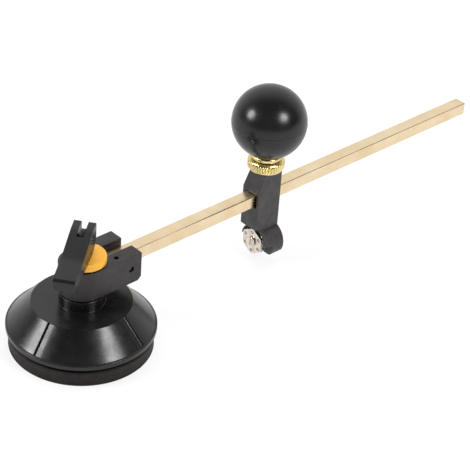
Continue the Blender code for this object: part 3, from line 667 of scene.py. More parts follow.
BALL_BLACK = ball_black()
CUP_BLACK = gloss_black("cup_gloss_black", 0.22, 0.31)
LEVER_BLACK = gloss_black("lever_black", 0.24, 0.36)
SATIN_BLACK = coated(
    "satin_black_moulding",
    colour=(0.014, 0.011, 0.011),
    roughness=0.4,
    tints=((0.010, 0.008, 0.008), (0.021, 0.016, 0.017)),
    clouds=(140.0, 3.0),
    shine=(0.34, 0.5),
    haze=(400.0, 5.0),
    grain=(2200.0, 3.0),
    relief=0.00003,
)
CAST_BLACK = coated(
    "cast_black_paint",
    colour=(0.030, 0.028, 0.029),
    roughness=0.45,
    tints=((0.018, 0.018, 0.021), (0.042, 0.035, 0.037)),
    clouds=(170.0, 5.0),
    shine=(0.36, 0.55),
    haze=(700.0, 5.0),
    grain=(2600.0, 2.0),
    relief=0.00002,
    span=(0.35, 0.7),
)
bumped(CAST_BLACK, noise(CAST_BLACK, *CAST_LUMPS), CAST_RELIEF)
RUBBER = coated(
    "moulded_rubber",
    colour=(0.012, 0.009, 0.009),
    roughness=0.72,
    tints=((0.008, 0.006, 0.0055), (0.019, 0.014, 0.0135)),
    clouds=(320.0, 6.0),
    shine=(0.62, 0.82),
    haze=(900.0, 4.0),
    grain=(3000.0, 3.0),
    relief=0.00004,
    specular=0.3,
    span=(0.3, 0.75),
)
YELLOW = coated(
    "yellow_moulding",
    colour=(0.84, 0.47, 0.045),
    roughness=0.36,
    tints=((0.76, 0.34, 0.016), (0.84, 0.42, 0.030)),
    clouds=(260.0, 4.0),
    shine=(0.3, 0.44),
    haze=(500.0, 4.0),
    grain=(1200.0, 2.0),
    relief=0.00002,
)
DRAWN_BRASS = brass(
    "drawn_brass",
    tints=((0.77, 0.60, 0.36), (0.87, 0.71, 0.49)),
    stretch=(0.02, 1.0, 1.0),
    scale=1800.0,
)
TURNED_BRASS = brass(
    "turned_brass",
    tints=((0.70, 0.57, 0.25), (0.84, 0.71, 0.36)),
    stretch=(0.1, 0.1, 1.0),
    scale=2400.0,
)
STEEL = bare_metal("plain_steel", (0.62, 0.61, 0.60), (0.48, 0.47, 0.46), 0.28)
# Painted shade: the pins' steel is darkened so that the pin ends read as the dark inside their
# holes.
PIN_STEEL_PAINTED_SHADE = bare_metal("pin_steel_painted_shade", (0.15, 0.145, 0.14), (0.08, 0.075, 0.07), 0.5)
NICKEL = bare_metal("nickel_plate", (0.84, 0.77, 0.70), (0.58, 0.50, 0.43), 0.28, scale=420.0)
CARBIDE = bare_metal("ground_carbide", (0.42, 0.42, 0.44), (0.30, 0.30, 0.32), 0.32)


# Base

def rubber_pad():
    """The pad, with a lip at its foot and a fine moulded line round its wall, which narrows
    towards the glass."""
    foot = PAD_FOOT_RADIUS
    narrowing = (PAD_RADIUS - foot) / (PAD_WALL_TOP - PAD_LIP)
    wall = foot + narrowing * (PAD_RING_HEIGHT - PAD_LIP)
    profile = [
        (0.0, PAD_FLOOR),
        (PAD_PLATE_ROOM, PAD_FLOOR, PAD_ROUND),
        (PAD_PLATE_ROOM, PAD_LIP_BOTTOM, PAD_ROUND),
        (PAD_BORE, PAD_LIP_BOTTOM, PAD_ROUND),
        (PAD_BORE, PAD_BOSS_TOP, PAD_ROUND),
        (PAD_BOSS_RADIUS, PAD_BOSS_TOP, PAD_TOP_ROUND),
        (PAD_BOSS_RADIUS, PAD_WEB, PAD_ROUND),
        (PAD_INNER, PAD_WEB, PAD_ROUND),
        (PAD_INNER, PAD_TOP, PAD_ROUND),
        (PAD_NECK_RADIUS, PAD_TOP, PAD_ROUND),
        (PAD_NECK_RADIUS, PAD_WALL_TOP, PAD_TOP_ROUND),
        (PAD_RADIUS, PAD_WALL_TOP, PAD_TOP_ROUND),
        (wall + narrowing * PAD_RING_HALF, PAD_RING_HEIGHT + PAD_RING_HALF),
        (wall - PAD_RING_DEPTH, PAD_RING_HEIGHT),
        (wall - narrowing * PAD_RING_HALF, PAD_RING_HEIGHT - PAD_RING_HALF),
        (foot, PAD_LIP, PAD_TOP_ROUND),
        (foot + PAD_LIP_OUT, PAD_LIP_OUT, PAD_ROUND / 2),
        (foot, 0.0, PAD_ROUND / 2),
        (0.0, 0.0),
    ]
    return turned("rubber_pad", profile, FINE)


def groove_columns():
    """(share of the sector, sideways offset, share of the depth) across one groove and the
    plain sector after it."""
    lip = GROOVE_LIP
    half = GROOVE_HALF
    side = [
        (-half - lip, 0.0),
        (-half - lip / 2, GROOVE_RAMP_SHARE),
        (-half, GROOVE_EDGE_SHARE),
        (-half + lip / 4, GROOVE_WALL_SHARE),
        (-half + lip, 1.0),
        (-half / 2, 1.0),
        (0.0, 1.0),
    ]
    across = side + [(-offset, depth) for offset, depth in reversed(side[:-1])]
    columns = [(None, offset, depth) for offset, depth in across]
    columns += [(step / SECTOR_STEPS, None, 0.0) for step in range(1, SECTOR_STEPS)]
    return columns


def cup_housing():
    """The cup, with four grooves down its cone."""
    foot = Vector((CONE_FOOT_RADIUS, RIM_TOP))
    cone = Vector((CROWN_RADIUS - CONE_FOOT_RADIUS, CROWN_HEIGHT - RIM_TOP))
    length = cone.length
    cone.normalize()
    out = Vector((cone.y, -cone.x))
    outline = [
        (INNER_CROWN, CEILING, LEDGE_ROUND),
        (GUIDE_RADIUS, CEILING, LEDGE_ROUND),
        (GUIDE_RADIUS, GUIDE_BOTTOM, LEDGE_ROUND),
        (BORE_RADIUS, GUIDE_BOTTOM, LEDGE_ROUND),
        (BORE_RADIUS, BOSS_TOP, LEDGE_ROUND),
        (BOSS_RADIUS, BOSS_TOP, LEDGE_ROUND),
        (BOSS_RADIUS, HUB_TOP, LEDGE_ROUND / 2),
        (HUB_RADIUS, HUB_TOP, LEDGE_ROUND / 2),
        (HUB_RADIUS, NECK_TOP, LEDGE_ROUND / 2),
        (NECK_RADIUS, NECK_TOP, NECK_ROUND),
        (NECK_RADIUS, CROWN_HEIGHT, NECK_FILLET),
        (CROWN_RADIUS, CROWN_HEIGHT, CROWN_ROUND),
        (CONE_FOOT_RADIUS, RIM_TOP, RIM_ROUND),
        (RIM_RADIUS, RIM_TOP, LEDGE_ROUND),
        (RIM_RADIUS, RIM_BOTTOM, LEDGE_ROUND),
        (SKIRT_RADIUS, RIM_BOTTOM, LEDGE_ROUND / 2),
        (SKIRT_RADIUS, SKIRT_STEP, LEDGE_ROUND / 2),
        (INNER_FOOT, SKIRT_STEP, LEDGE_ROUND / 2),
    ]
    points = []
    for point in rounded(outline, True):
        along = (point - foot).dot(cone)
        off = abs((point - foot).dot(out))
        points.append((point, off < CONE_NEAR and 0.0 < along < length))
    rows = []
    columns = groove_columns()
    limit = GROOVE_HALF + GROOVE_LIP
    for index, (point, on_cone) in enumerate(points):
        before = points[index - 1][1]
        after = points[(index + 1) % len(points)][1]
        depths = [1.0] if on_cone else [0.0]
        if on_cone and not before:
            depths = [0.0, 1.0]
        if on_cone and not after:
            depths.append(0.0)
        for share in depths:
            row = []
            for sector in range(GROOVE_COUNT):
                azimuth = GROOVE_AZIMUTH + math.tau * sector / GROOVE_COUNT
                for part, offset, depth in columns:
                    place = point - out * GROOVE_DEPTH * depth * share
                    edge = math.asin(min(limit / max(place.x, limit), 1.0))
                    if offset is None:
                        angle = edge + part * (math.tau / GROOVE_COUNT - 2 * edge)
                    else:
                        angle = edge * offset / limit
                    row.append(
                        (
                            place.x * math.cos(azimuth + angle),
                            place.x * math.sin(azimuth + angle),
                            place.y,
                        )
                    )
            rows.append(row)
    return net("cup_housing", rows, True)


def hub_cap():
    """The cap, whose rim stands a little off the pivot axis, beside the lever."""
    profile = [
        (0.0, CAP_TOP + CAP_CROWN),
        (CAP_RADIUS / 2, CAP_TOP + CAP_CROWN * CAP_DOME_SHARE, CAP_DOME_ROUND),
        (CAP_RADIUS, CAP_TOP, CAP_ROUND),
        (CAP_RADIUS, CAP_BOTTOM, CAP_FOOT_ROUND),
        (0.0, CAP_BOTTOM),
    ]
    cap = turned("hub_cap", profile, FINE)
    aside = Vector((math.cos(CAP_AZIMUTH), math.sin(CAP_AZIMUTH), 0.0)) * CAP_OFFSET
    moved(cap, Matrix.Translation(aside))
    start = (0.0, 0.0, CAP_BOTTOM - CUT_PAST)
    recess = CAP_RECESS_TOP - CAP_BOTTOM + CUT_PAST
    combined(cap, drill(CAP_RECESS, start, recess, steps=MEDIUM))
    bore = CAP_TOP - CAP_BOTTOM + 2 * CUT_PAST
    combined(cap, drill(BORE_RADIUS, start, bore, steps=MEDIUM))
    return cap


def flat_ring(name, inner, outer, low, high):
    corners = [(inner, low), (outer, low), (outer, high), (inner, high)]
    profile = [(*corner, WASHER_ROUND) for corner in corners]
    return turned(name, profile, MEDIUM, ring=True)


# Stem and lever

def stem_post():
    neck = STEM_TOP - STEM_RADIUS
    profile = [
        (0.0, STEM_TOP),
        (STEM_RADIUS, STEM_TOP, STEM_ROUND),
        (STEM_RADIUS, STEM_PLATE_TOP, STEM_ROUND),
        (STEM_PLATE_RADIUS, STEM_PLATE_TOP, STEM_ROUND),
        (STEM_PLATE_RADIUS, STEM_PLATE_BOTTOM, STEM_ROUND),
        (0.0, STEM_PLATE_BOTTOM),
    ]
    post = turned("stem_post", profile, MEDIUM)
    eye = [
        (
            TONGUE_HALF * math.cos(math.pi * step / SMALL),
            TONGUE_RISE + TONGUE_HALF * math.sin(math.pi * step / SMALL),
        )
        for step in range(SMALL + 1)
    ]
    outline = [(-TONGUE_HALF, neck - PIN_HEIGHT), (TONGUE_HALF, neck - PIN_HEIGHT), *eye]
    tongue = moved(prism("cutter", outline, TONGUE_THICKNESS), PIN_FRAME)
    combined(post, tongue, "UNION")
    hole = drill(PIN_HOLE, (0.0, 0.0, -LEVER_WIDTH), 2 * LEVER_WIDTH)
    combined(post, moved(hole, LEVER_FRAME))
    return eased(post, LEVER_EDGE / 2, steps=2)


def cam_line():
    """The cam from its foot to its end face: the distance from the pin to the cap falls
    evenly as the lever turns."""
    rate = -CAM_FALL / RIGHT_ANGLE
    line = []
    for index in range(CAM_STEPS + 1):
        angle = RIGHT_ANGLE * index / CAM_STEPS
        reach = CAM_CLOSED + rate * angle
        line.append(
            (
                -reach * math.sin(angle) - rate * math.cos(angle),
                -reach * math.cos(angle) + rate * math.sin(angle),
            )
        )
    return line


def cam_lever():
    foot = -CAM_CLOSED
    tip_top = foot + LEVER_TIP_HEIGHT
    end_face = -(CAM_CLOSED - CAM_FALL)
    top = rounded(
        [
            (end_face, 0.0),
            (end_face, LEVER_TOP, LEVER_HEEL_ROUND),
            (0.0, LEVER_TOP - LEVER_TOP_SAG, LEVER_BEND),
            (LEVER_WAIST, foot + LEVER_WAIST_HEIGHT, LEVER_BEND),
            (LEVER_REACH, tip_top - LEVER_FOOT_ROUND, LEVER_TIP_ROUND),
            (LEVER_REACH, foot, LEVER_FOOT_ROUND),
            (0.0, foot),
        ],
        steps=LEVER_STEPS,
    )
    outline = [*cam_line(), *top[1:-1]]
    body = moved(prism("cam_lever", outline, LEVER_WIDTH), LEVER_FRAME)
    room = TONGUE_THICKNESS / 2 + GAP + LEVER_SIDE_PLAY
    slot = block(
        (-LEVER_REACH, foot - CUT_PAST, -room), (LEVER_SLOT_END, LEVER_TOP + CUT_PAST, room)
    )
    combined(body, moved(slot, LEVER_FRAME))
    hole = drill(PIN_HOLE, (0.0, 0.0, -LEVER_WIDTH), 2 * LEVER_WIDTH)
    combined(body, moved(hole, LEVER_FRAME))
    return eased(body, LEVER_EDGE)


def domed_pin(name, radius, length, corner, matrix, steps=SMALL):
    half = length / 2
    profile = [(0.0, half), (radius, half, corner), (radius, -half, corner), (0.0, -half)]
    return moved(turned(name, profile, steps), matrix)


# Head and beam

def pivot_head():
    low, high = HEAD_BOTTOM, HEAD_TOP
    curve = [
        (
            -HEAD_RADIUS * math.sin(math.pi * step / MEDIUM),
            HEAD_RADIUS * math.cos(math.pi * step / MEDIUM),
        )
        for step in range(MEDIUM + 1)
    ]
    outline = [*curve, (ARM_END, -HEAD_RADIUS), (ARM_END, HEAD_RADIUS)]
    body = prism("pivot_head", outline, high - low)
    moved(body, Matrix.Translation((0.0, 0.0, (low + high) / 2)))
    wide = HEAD_RADIUS + CUT_PAST
    corner = prism(
        "cutter",
        [
            (ARM_END - ARM_CORNER_CUT, low),
            (ARM_END - ARM_CORNER_CUT, low - CUT_PAST),
            (ARM_END + CUT_PAST, low - CUT_PAST),
            (ARM_END + CUT_PAST, low + ARM_CORNER_CUT),
            (ARM_END, low + ARM_CORNER_CUT),
        ],
        2 * wide,
    )
    combined(body, moved(corner, STAND))
    combined(body, drill(HEAD_BORE, (0.0, 0.0, low - CUT_PAST), high, steps=FINE))
    socket_low, socket_high = BEAM_BOTTOM - GAP, BEAM_TOP + GAP
    half = SOCKET_HALF
    combined(body, block((SOCKET_START, -half, socket_low), (ARM_END, half, socket_high)))
    past = ARM_END + CUT_PAST
    combined(body, block((BRIDGE_END, -half, socket_low), (past, half, high + CUT_PAST)))
    combined(body, drill(ARM_PIN_HOLE, (ARM_PIN_X, -wide, BEAM_MIDDLE), 2 * wide, ALONG_Y))
    start = (MARK_HOLE_X, MARK_HOLE_Y, high - MARK_HOLE_DEPTH)
    combined(body, drill(MARK_HOLE_RADIUS, start, HEAD_RADIUS))
    return eased(body, HEAD_EDGE)


def square_beam():
    half, round_off = BEAM_HALF, BEAM_ROUND
    outline = rounded(
        [
            (-half, -half, round_off),
            (half, -half, round_off),
            (half, half, round_off),
            (-half, half, round_off),
        ],
        closed=True,
    )
    length = BEAM_END - BEAM_START
    bar = prism("square_beam", outline, length)
    middle = (BEAM_START + BEAM_END) / 2
    moved(bar, Matrix.Translation((middle, 0.0, BEAM_MIDDLE)) @ ALONG_X)
    start = (ARM_PIN_X, -ARM_PIN_REACH, BEAM_MIDDLE)
    combined(bar, drill(ARM_PIN_HOLE, start, 2 * ARM_PIN_REACH, ALONG_Y))
    return eased(bar, BEAM_END_EDGE, steps=2)


# Carriage

def carriage_casting():
    outline = [
        (COLUMN_FRONT, COLUMN_FOOT),
        (LUG_FRONT, COLUMN_FOOT),
        (LUG_FRONT, TURRET_HEIGHT + TURRET_RADIUS),
        (POCKET_FLOOR, TURRET_HEIGHT),
        (COLUMN_BACK, TURRET_HEIGHT),
        (COLUMN_BACK, COLUMN_TOP),
        (COLUMN_CHAMFER_END, COLUMN_TOP),
        (COLUMN_FRONT, COLUMN_CHAMFER_START),
    ]
    body = moved(prism("carriage_casting", outline, 2 * COLUMN_HALF), STAND)
    depth = COLUMN_BACK - LUG_FRONT
    combined(
        body,
        drill(LUG_RADIUS, (LUG_FRONT, LUG_OFFSET, TURRET_HEIGHT), depth, ALONG_X, MEDIUM),
        "UNION",
    )
    before = COLUMN_FRONT - CUT_PAST
    pocket = POCKET_FLOOR - before
    combined(body, drill(POCKET_RADIUS, (before, 0.0, TURRET_HEIGHT), pocket, ALONG_X, MEDIUM))
    wide = 2 * LUG_RADIUS
    combined(body, block((before, -wide, -CUT_PAST), (POCKET_FLOOR, wide, POCKET_OPEN)))
    past = COLUMN_BACK + CUT_PAST
    combined(body, block((before, -wide, -CUT_PAST), (past, wide, LUG_BOTTOM)))
    passage = block((before, PASSAGE_LEFT, PASSAGE_BOTTOM), (past, PASSAGE_RIGHT, PASSAGE_TOP))
    combined(body, passage)
    rise = COLUMN_TOP + CUT_PAST - BEAM_TOP
    combined(body, drill(STUD_HOLE, (CARRIAGE_X, 0.0, BEAM_TOP), rise))
    screw = SCREW_HOLE_END - POCKET_FLOOR + CUT_PAST
    start = (POCKET_FLOOR - CUT_PAST, 0.0, TURRET_HEIGHT)
    combined(body, drill(SCREW_HOLE, start, screw, ALONG_X))
    combined(body, lug_corner())
    return eased(body, COLUMN_EDGE)


def lug_corner():
    """Cuts the corner between the lug's round side and its flat foot to a soft curve."""
    drop = LUG_BOTTOM + LUG_CORNER - TURRET_HEIGHT
    reach = LUG_RADIUS - LUG_CORNER
    out = -math.sqrt(reach ** 2 - drop ** 2)
    centre = Vector((LUG_OFFSET + out, TURRET_HEIGHT + drop))
    first = Vector((0.0, -1.0))
    final = Vector((out, drop)).normalized()
    curve = [
        centre + first.slerp(final, step / SMALL) * LUG_CORNER for step in range(SMALL + 1)
    ]
    past = centre.x - LUG_RADIUS
    outline = [*curve, (past, curve[-1].y), (past, 0.0), (curve[0].x, 0.0)]
    cutter = prism("cutter", outline, COLUMN_BACK - LUG_FRONT + 2 * CUT_PAST)
    return moved(cutter, Matrix.Translation(((LUG_FRONT + COLUMN_BACK) / 2, 0.0, 0.0)) @ FACE_X)


def round_pad():
    profile = [
        (0.0, SHOE_TOP),
        (SHOE_RADIUS, SHOE_TOP, SHOE_ROUND),
        (SHOE_RADIUS, SHOE_BOTTOM, SHOE_ROUND),
        (0.0, SHOE_BOTTOM),
    ]
    return turned("pressure_pad", profile, SMALL, centre=CARRIAGE_X)


def threaded_stud():
    """The stud with its thread as real ridges."""
    rows = []
    turns = (STUD_TOP - STUD_BOTTOM) / THREAD_PITCH
    count = int(turns * THREAD_ROWS)
    rows.append(ring_row(0.0, STUD_BOTTOM, THREAD_STEPS, CARRIAGE_X))
    for index in range(count + 1):
        height = STUD_BOTTOM + (STUD_TOP - STUD_BOTTOM) * index / count
        near_end = min(index, count - index) / THREAD_ROWS
        row = []
        for step in range(THREAD_STEPS):
            angle = math.tau * step / THREAD_STEPS
            phase = (height / THREAD_PITCH - angle / math.tau) % 1.0
            ridge = abs(2 * phase - 1)
            depth = THREAD_DEPTH * (1 - ridge) + THREAD_DEPTH * max(0.0, 1 - near_end)
            radius = STUD_RADIUS - depth
            row.append((CARRIAGE_X + radius * math.cos(angle), radius * math.sin(angle), height))
        rows.append(row)
    rows.append(ring_row(0.0, STUD_TOP, THREAD_STEPS, CARRIAGE_X))
    return net("threaded_stud", rows)


def knurled_nut():
    """The nut, with smooth shoulders and straight ridges between them."""
    core = NUT_CORE
    profile = rounded(
        [
            (NUT_BORE, NUT_BOTTOM, NUT_BORE_ROUND),
            (core, NUT_BOTTOM, NUT_FOOT),
            (core, KNURL_LOW),
            (core, KNURL_LOW + KNURL_RAMP),
            (core, KNURL_HIGH - KNURL_RAMP),
            (core, KNURL_HIGH),
            (core, NUT_TOP, NUT_SHOULDER),
            (NUT_BORE, NUT_TOP, NUT_BORE_ROUND),
        ],
        closed=True,
        steps=NUT_STEPS,
    )
    rows = []
    count = KNURL_COUNT * KNURL_STEPS
    for radius, height in profile:
        ridged = KNURL_LOW < height < KNURL_HIGH and radius > core - NUT_SHOULDER / 4
        row = []
        for step in range(count):
            angle = math.tau * step / count
            wave = abs(math.sin(angle * KNURL_COUNT / 2))
            grown = NUT_RADIUS - KNURL_DEPTH * (1 - wave) ** KNURL_POWER if ridged else radius
            row.append((CARRIAGE_X + grown * math.cos(angle), grown * math.sin(angle), height))
        rows.append(row)
    return net("knurled_nut", rows, True)


def ball_collar():
    profile = [
        (0.0, FERRULE_TOP),
        (FERRULE_SLEEVE, FERRULE_TOP, FERRULE_EDGE),
        (FERRULE_SLEEVE, FERRULE_FLANGE_TOP, FERRULE_EDGE),
        (FERRULE_RADIUS, FERRULE_FLANGE_TOP, FERRULE_ROUND),
        (FERRULE_RADIUS, FERRULE_BOTTOM, FERRULE_ROUND),
        (STUD_HOLE, FERRULE_BOTTOM, FERRULE_EDGE),
        (STUD_HOLE, FERRULE_BORE_TOP),
        (0.0, FERRULE_BORE_TOP),
    ]
    return turned("ball_collar", profile, MEDIUM, centre=CARRIAGE_X)


def ball_grip():
    """The ball, with the moulding's thin seam round its middle."""
    flat = -math.acos(BALL_FLAT_RADIUS / BALL_RADIUS)
    sweep = flat - RIGHT_ANGLE
    angles = [RIGHT_ANGLE + sweep * step / BALL_STEPS for step in range(BALL_STEPS + 1)]
    seam = [SEAM_HALF, 0.0, -SEAM_HALF]
    angles = sorted([a for a in angles if abs(a) > 2 * SEAM_HALF] + seam, reverse=True)
    rows = []
    for angle in angles:
        radius = BALL_RADIUS + (SEAM_HEIGHT if angle == 0.0 else 0.0)
        across = max(radius * math.cos(angle), 0.0)
        rows.append(ring_row(across, BALL_CENTRE + radius * math.sin(angle), FINE, CARRIAGE_X))
    bore = [(BALL_BORE, BALL_FLAT), (BALL_BORE, BALL_BORE_TOP), (0.0, BALL_BORE_TOP)]
    rows += [ring_row(radius, height, FINE, CARRIAGE_X) for radius, height in bore]
    return net("ball_grip", rows)


# Turret

def wheel_place(index):
    angle = -RIGHT_ANGLE + math.tau * index / WHEEL_COUNT
    return WHEEL_PITCH * math.cos(angle), TURRET_HEIGHT + WHEEL_PITCH * math.sin(angle)


def six_sided_disc():
    outline = []
    for index in range(WHEEL_COUNT):
        middle = -RIGHT_ANGLE + math.tau * index / WHEEL_COUNT
        for step in range(TURRET_NOSE_STEPS + 1):
            angle = middle + TURRET_NOSE * (2 * step / TURRET_NOSE_STEPS - 1)
            outline.append((TURRET_RADIUS * math.cos(angle), TURRET_RADIUS * math.sin(angle)))
    centre = (TURRET_FRONT + TURRET_BACK) / 2
    thickness = TURRET_BACK - TURRET_FRONT
    disc = prism("wheel_turret", outline, thickness)
    moved(disc, Matrix.Translation((centre, 0.0, TURRET_HEIGHT)) @ FACE_X)
    before = TURRET_FRONT - CUT_PAST
    through = thickness + 2 * CUT_PAST
    for index in range(WHEEL_COUNT):
        across, height = wheel_place(index)
        start = (centre - WHEEL_SLOT_HALF, across, height)
        combined(disc, drill(WHEEL_SLOT_RADIUS, start, 2 * WHEEL_SLOT_HALF, ALONG_X))
        combined(disc, drill(AXLE_HOLE, (before, across, height), through, ALONG_X, SMALL // 2))
    combined(disc, drill(SCREW_HOLE, (before, 0.0, TURRET_HEIGHT), through, ALONG_X))
    return eased(disc, TURRET_EDGE, steps=2)


def glass_wheel(index):
    across, height = wheel_place(index)
    half = WHEEL_HALF
    profile = [
        (WHEEL_BORE, half),
        (WHEEL_LAND, half),
        (WHEEL_RADIUS, 0.0),
        (WHEEL_LAND, -half),
        (WHEEL_BORE, -half),
    ]
    centre = (TURRET_FRONT + TURRET_BACK) / 2
    piece = turned(f"glass_wheel_{index + 1}", profile, MEDIUM, ring=True)
    return moved(piece, Matrix.Translation((centre, across, height)) @ ALONG_X)


def slotted_screw():
    head = SCREW_HEAD_FRONT
    profile = [
        (0.0, head),
        (SCREW_HEAD_RADIUS, head, SCREW_HEAD_ROUND),
        (SCREW_HEAD_RADIUS, SCREW_HEAD_BACK, SCREW_STEP_ROUND),
        (SCREW_RADIUS, SCREW_HEAD_BACK),
        (SCREW_RADIUS, SCREW_END, SCREW_END_ROUND),
        (0.0, SCREW_END),
    ]
    piece = turned("slotted_screw", profile, SMALL)
    moved(piece, Matrix.Translation((0.0, 0.0, TURRET_HEIGHT)) @ ALONG_X)
    reach = 2 * SCREW_HEAD_RADIUS
    slot = block(
        (head - CUT_PAST, -SCREW_SLOT_HALF, TURRET_HEIGHT - reach),
        (head + SCREW_SLOT_DEPTH, SCREW_SLOT_HALF, TURRET_HEIGHT + reach),
    )
    combined(piece, slot)
    return eased(piece, SCREW_EDGE, steps=1)


# Dressing

dressed(rubber_pad(), "base", ["suction_pad"], RUBBER)
dressed(cup_housing(), "base", ["base_housing"], CUP_BLACK)
dressed(hub_cap(), "base", ["retaining_cap"], YELLOW)
ring = flat_ring("thrust_washer", WASHER_IN, WASHER_OUT, WASHER_BOTTOM, WASHER_TOP)
dressed(ring, "base", ["swivel_washer"], SATIN_BLACK)
dressed(stem_post(), "stem", ["pull_stem"], SATIN_BLACK)
dressed(cam_lever(), "lever", ["lever"], LEVER_BLACK)
pin = domed_pin("cam_pin", PIN_RADIUS, PIN_LENGTH, PIN_ROUND, LEVER_FRAME)
# The cam pin wears the steel darkened as painted shade of its hole.
dressed(pin, "stem", ["lever_pin"], PIN_STEEL_PAINTED_SHADE)
dressed(pivot_head(), "head", ["swivel_head"], SATIN_BLACK)
dressed(square_beam(), "head", ["beam"], DRAWN_BRASS)
cross = Matrix.Translation((ARM_PIN_X, 0.0, BEAM_MIDDLE)) @ ALONG_Y
pin = domed_pin("cross_pin", ARM_PIN_RADIUS, 2 * ARM_PIN_REACH, PIN_ROUND, cross)
# The cross pin wears the steel darkened as painted shade of its hole.
dressed(pin, "head", ["beam_pin"], PIN_STEEL_PAINTED_SHADE)
dressed(carriage_casting(), "carriage", ["carriage_body"], CAST_BLACK)
dressed(slotted_screw(), "carriage", ["turret_screw"], NICKEL)
spring = flat_ring("spring_washer", SCREW_HOLE, SPRING_RADIUS, SPRING_FRONT, SPRING_BACK)
moved(spring, Matrix.Translation((0.0, 0.0, TURRET_HEIGHT)) @ ALONG_X)
dressed(spring, "carriage", ["turret_washer"], STEEL)
dressed(round_pad(), "clamp_shoe", ["clamp_shoe"], TURNED_BRASS)
dressed(threaded_stud(), "clamp_screw", ["clamp_stud"], STEEL)
dressed(knurled_nut(), "clamp_screw", ["clamp_nut"], TURNED_BRASS)
dressed(ball_collar(), "grip", ["ball_ferrule"], TURNED_BRASS)
dressed(ball_grip(), "grip", ["ball_knob"], BALL_BLACK)
dressed(six_sided_disc(), "turret", ["turret_disc"], NICKEL)
for number in range(WHEEL_COUNT):
    across, height = wheel_place(number)
    label = number + 1
    dressed(glass_wheel(number), f"wheel_{label}", [f"cutting_wheel_{label}"], CARBIDE)
    place = Matrix.Translation(((TURRET_FRONT + TURRET_BACK) / 2, across, height)) @ ALONG_X
    axle = domed_pin(
        f"axle_{label}", AXLE_RADIUS, TURRET_BACK - TURRET_FRONT, AXLE_DOME, place, SMALL // 2
    )
    dressed(axle, "turret", [f"wheel_axle_{label}"], STEEL)


# Stage, light and camera

def brightest(nodes, links, first, second):
    node = nodes.new("ShaderNodeMath")
    node.operation = "MAXIMUM"
    links.new(first, node.inputs[0])
    links.new(second, node.inputs[1])
    return node.outputs["Value"]


def floor_finish():
    """Matt pale paint, whitened for rays that come from the camera, off a glossy piece or
    through a clear one."""
    paint = new_finish("floor_paint", FLOOR_COLOUR, FLOOR_ROUGHNESS)
    nodes, links = paint.node_tree.nodes, paint.node_tree.links
    shader = nodes["Principled BSDF"]
    shader.inputs["Specular IOR Level"].default_value = 0.0
    seen = nodes.new("ShaderNodeLightPath").outputs
    direct = brightest(nodes, links, seen["Is Camera Ray"], seen["Is Glossy Ray"])
    either = brightest(nodes, links, direct, seen["Is Transmission Ray"])
    whiten = nodes.new("ShaderNodeMath")
    whiten.operation = "MULTIPLY"
    whiten.inputs[1].default_value = FLOOR_WHITE_SHARE
    glow = nodes.new("ShaderNodeEmission")
    blend = nodes.new("ShaderNodeMixShader")
    links.new(either, whiten.inputs[0])
    links.new(whiten.outputs["Value"], blend.inputs["Fac"])
    links.new(shader.outputs["BSDF"], blend.inputs[1])
    links.new(glow.outputs["Emission"], blend.inputs[2])
    links.new(blend.outputs["Shader"], nodes["Material Output"].inputs["Surface"])
    return paint


def lamp(name, azimuth, elevation, distance, size, power, glossy=True):
    """A round lamp that faces the part, placed by its azimuth and elevation in degrees."""
    light = bpy.data.lights.new(name, "AREA")
    light.shape = "DISK"
    light.size = size
    light.energy = power
    stand = bpy.data.objects.new(name, light)
    bpy.context.scene.collection.objects.link(stand)
    turn, lift = math.radians(azimuth), math.radians(elevation)
    away = Vector(
        (math.cos(lift) * math.cos(turn), math.cos(lift) * math.sin(turn), math.sin(lift))
    )
    stand.location = LAMP_TARGET + away * distance
    stand.rotation_mode = "QUATERNION"
    stand.rotation_quaternion = away.to_track_quat("Z", "Y")
    stand.visible_glossy = glossy


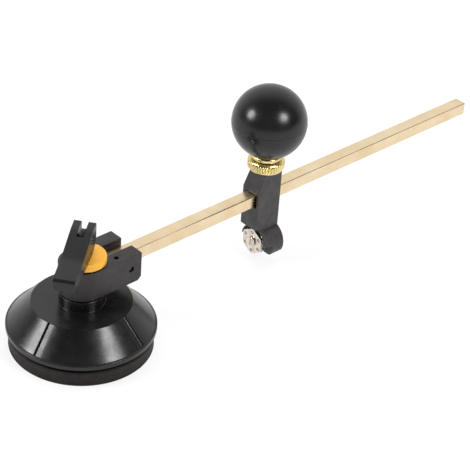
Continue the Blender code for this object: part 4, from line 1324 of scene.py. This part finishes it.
def studio():
    """A room that is white to the camera, and for all else bright behind the part and dim in
    front of it."""
    world = bpy.data.worlds.new("studio")
    world.use_nodes = True
    nodes, links = world.node_tree.nodes, world.node_tree.links
    nodes.clear()
    output = nodes.new("ShaderNodeOutputWorld")
    white = nodes.new("ShaderNodeBackground")
    room = nodes.new("ShaderNodeBackground")
    for background in (white, room):
        background.inputs["Color"].default_value = WHITE
    white.inputs["Strength"].default_value = 1.0
    where = nodes.new("ShaderNodeTexCoord")
    facing = nodes.new("ShaderNodeVectorMath")
    facing.operation = "DOT_PRODUCT"
    facing.inputs[1].default_value = ROOM_BACK
    spread = nodes.new("ShaderNodeMapRange")
    spread.interpolation_type = "SMOOTHSTEP"
    for name, number in zip(RANGE_SOCKETS, ROOM_SPREAD):
        spread.inputs[name].default_value = number
    links.new(where.outputs["Generated"], facing.inputs[0])
    links.new(facing.outputs["Value"], spread.inputs["Value"])
    links.new(spread.outputs["Result"], room.inputs["Strength"])
    path = nodes.new("ShaderNodeLightPath")
    choice = nodes.new("ShaderNodeMixShader")
    links.new(path.outputs["Is Camera Ray"], choice.inputs["Fac"])
    links.new(room.outputs["Background"], choice.inputs[1])
    links.new(white.outputs["Background"], choice.inputs[2])
    links.new(choice.outputs["Shader"], output.inputs["Surface"])
    return world


def photo_camera():
    ahead = Vector(CAMERA_AHEAD).normalized()
    side = Vector(CAMERA_SIDE)
    side = (side - ahead * side.dot(ahead)).normalized()
    data = bpy.data.cameras.new("camera")
    camera = bpy.data.objects.new("camera", data)
    bpy.context.scene.collection.objects.link(camera)
    turn = Matrix((side, side.cross(ahead), -ahead)).transposed().to_4x4()
    camera.matrix_world = Matrix.Translation(CAMERA_PLACE) @ turn
    data.sensor_width = SENSOR_WIDTH
    data.lens = LENS
    data.clip_start = CLIP_START
    return camera


floor_shape = bmesh.new()
bmesh.ops.create_grid(floor_shape, x_segments=1, y_segments=1, size=FLOOR_HALF)
floor = to_object("floor", floor_shape)
floor.location = (0.0, 0.0, -FLOOR_DROP)
floor.data.materials.append(floor_finish())

lamp("left_lamp", azimuth=153.5, elevation=29.0, distance=1.2, size=0.42, power=8.6)
lamp("right_lamp", azimuth=-81.5, elevation=35.5, distance=1.2, size=0.42, power=8.6)
lamp("top_fill", azimuth=30, elevation=80, distance=1.6, size=1.6, power=17.0, glossy=False)

bpy.context.scene.world = studio()
bpy.context.scene.camera = photo_camera()
bpy.context.scene.view_settings.view_transform = "Standard"
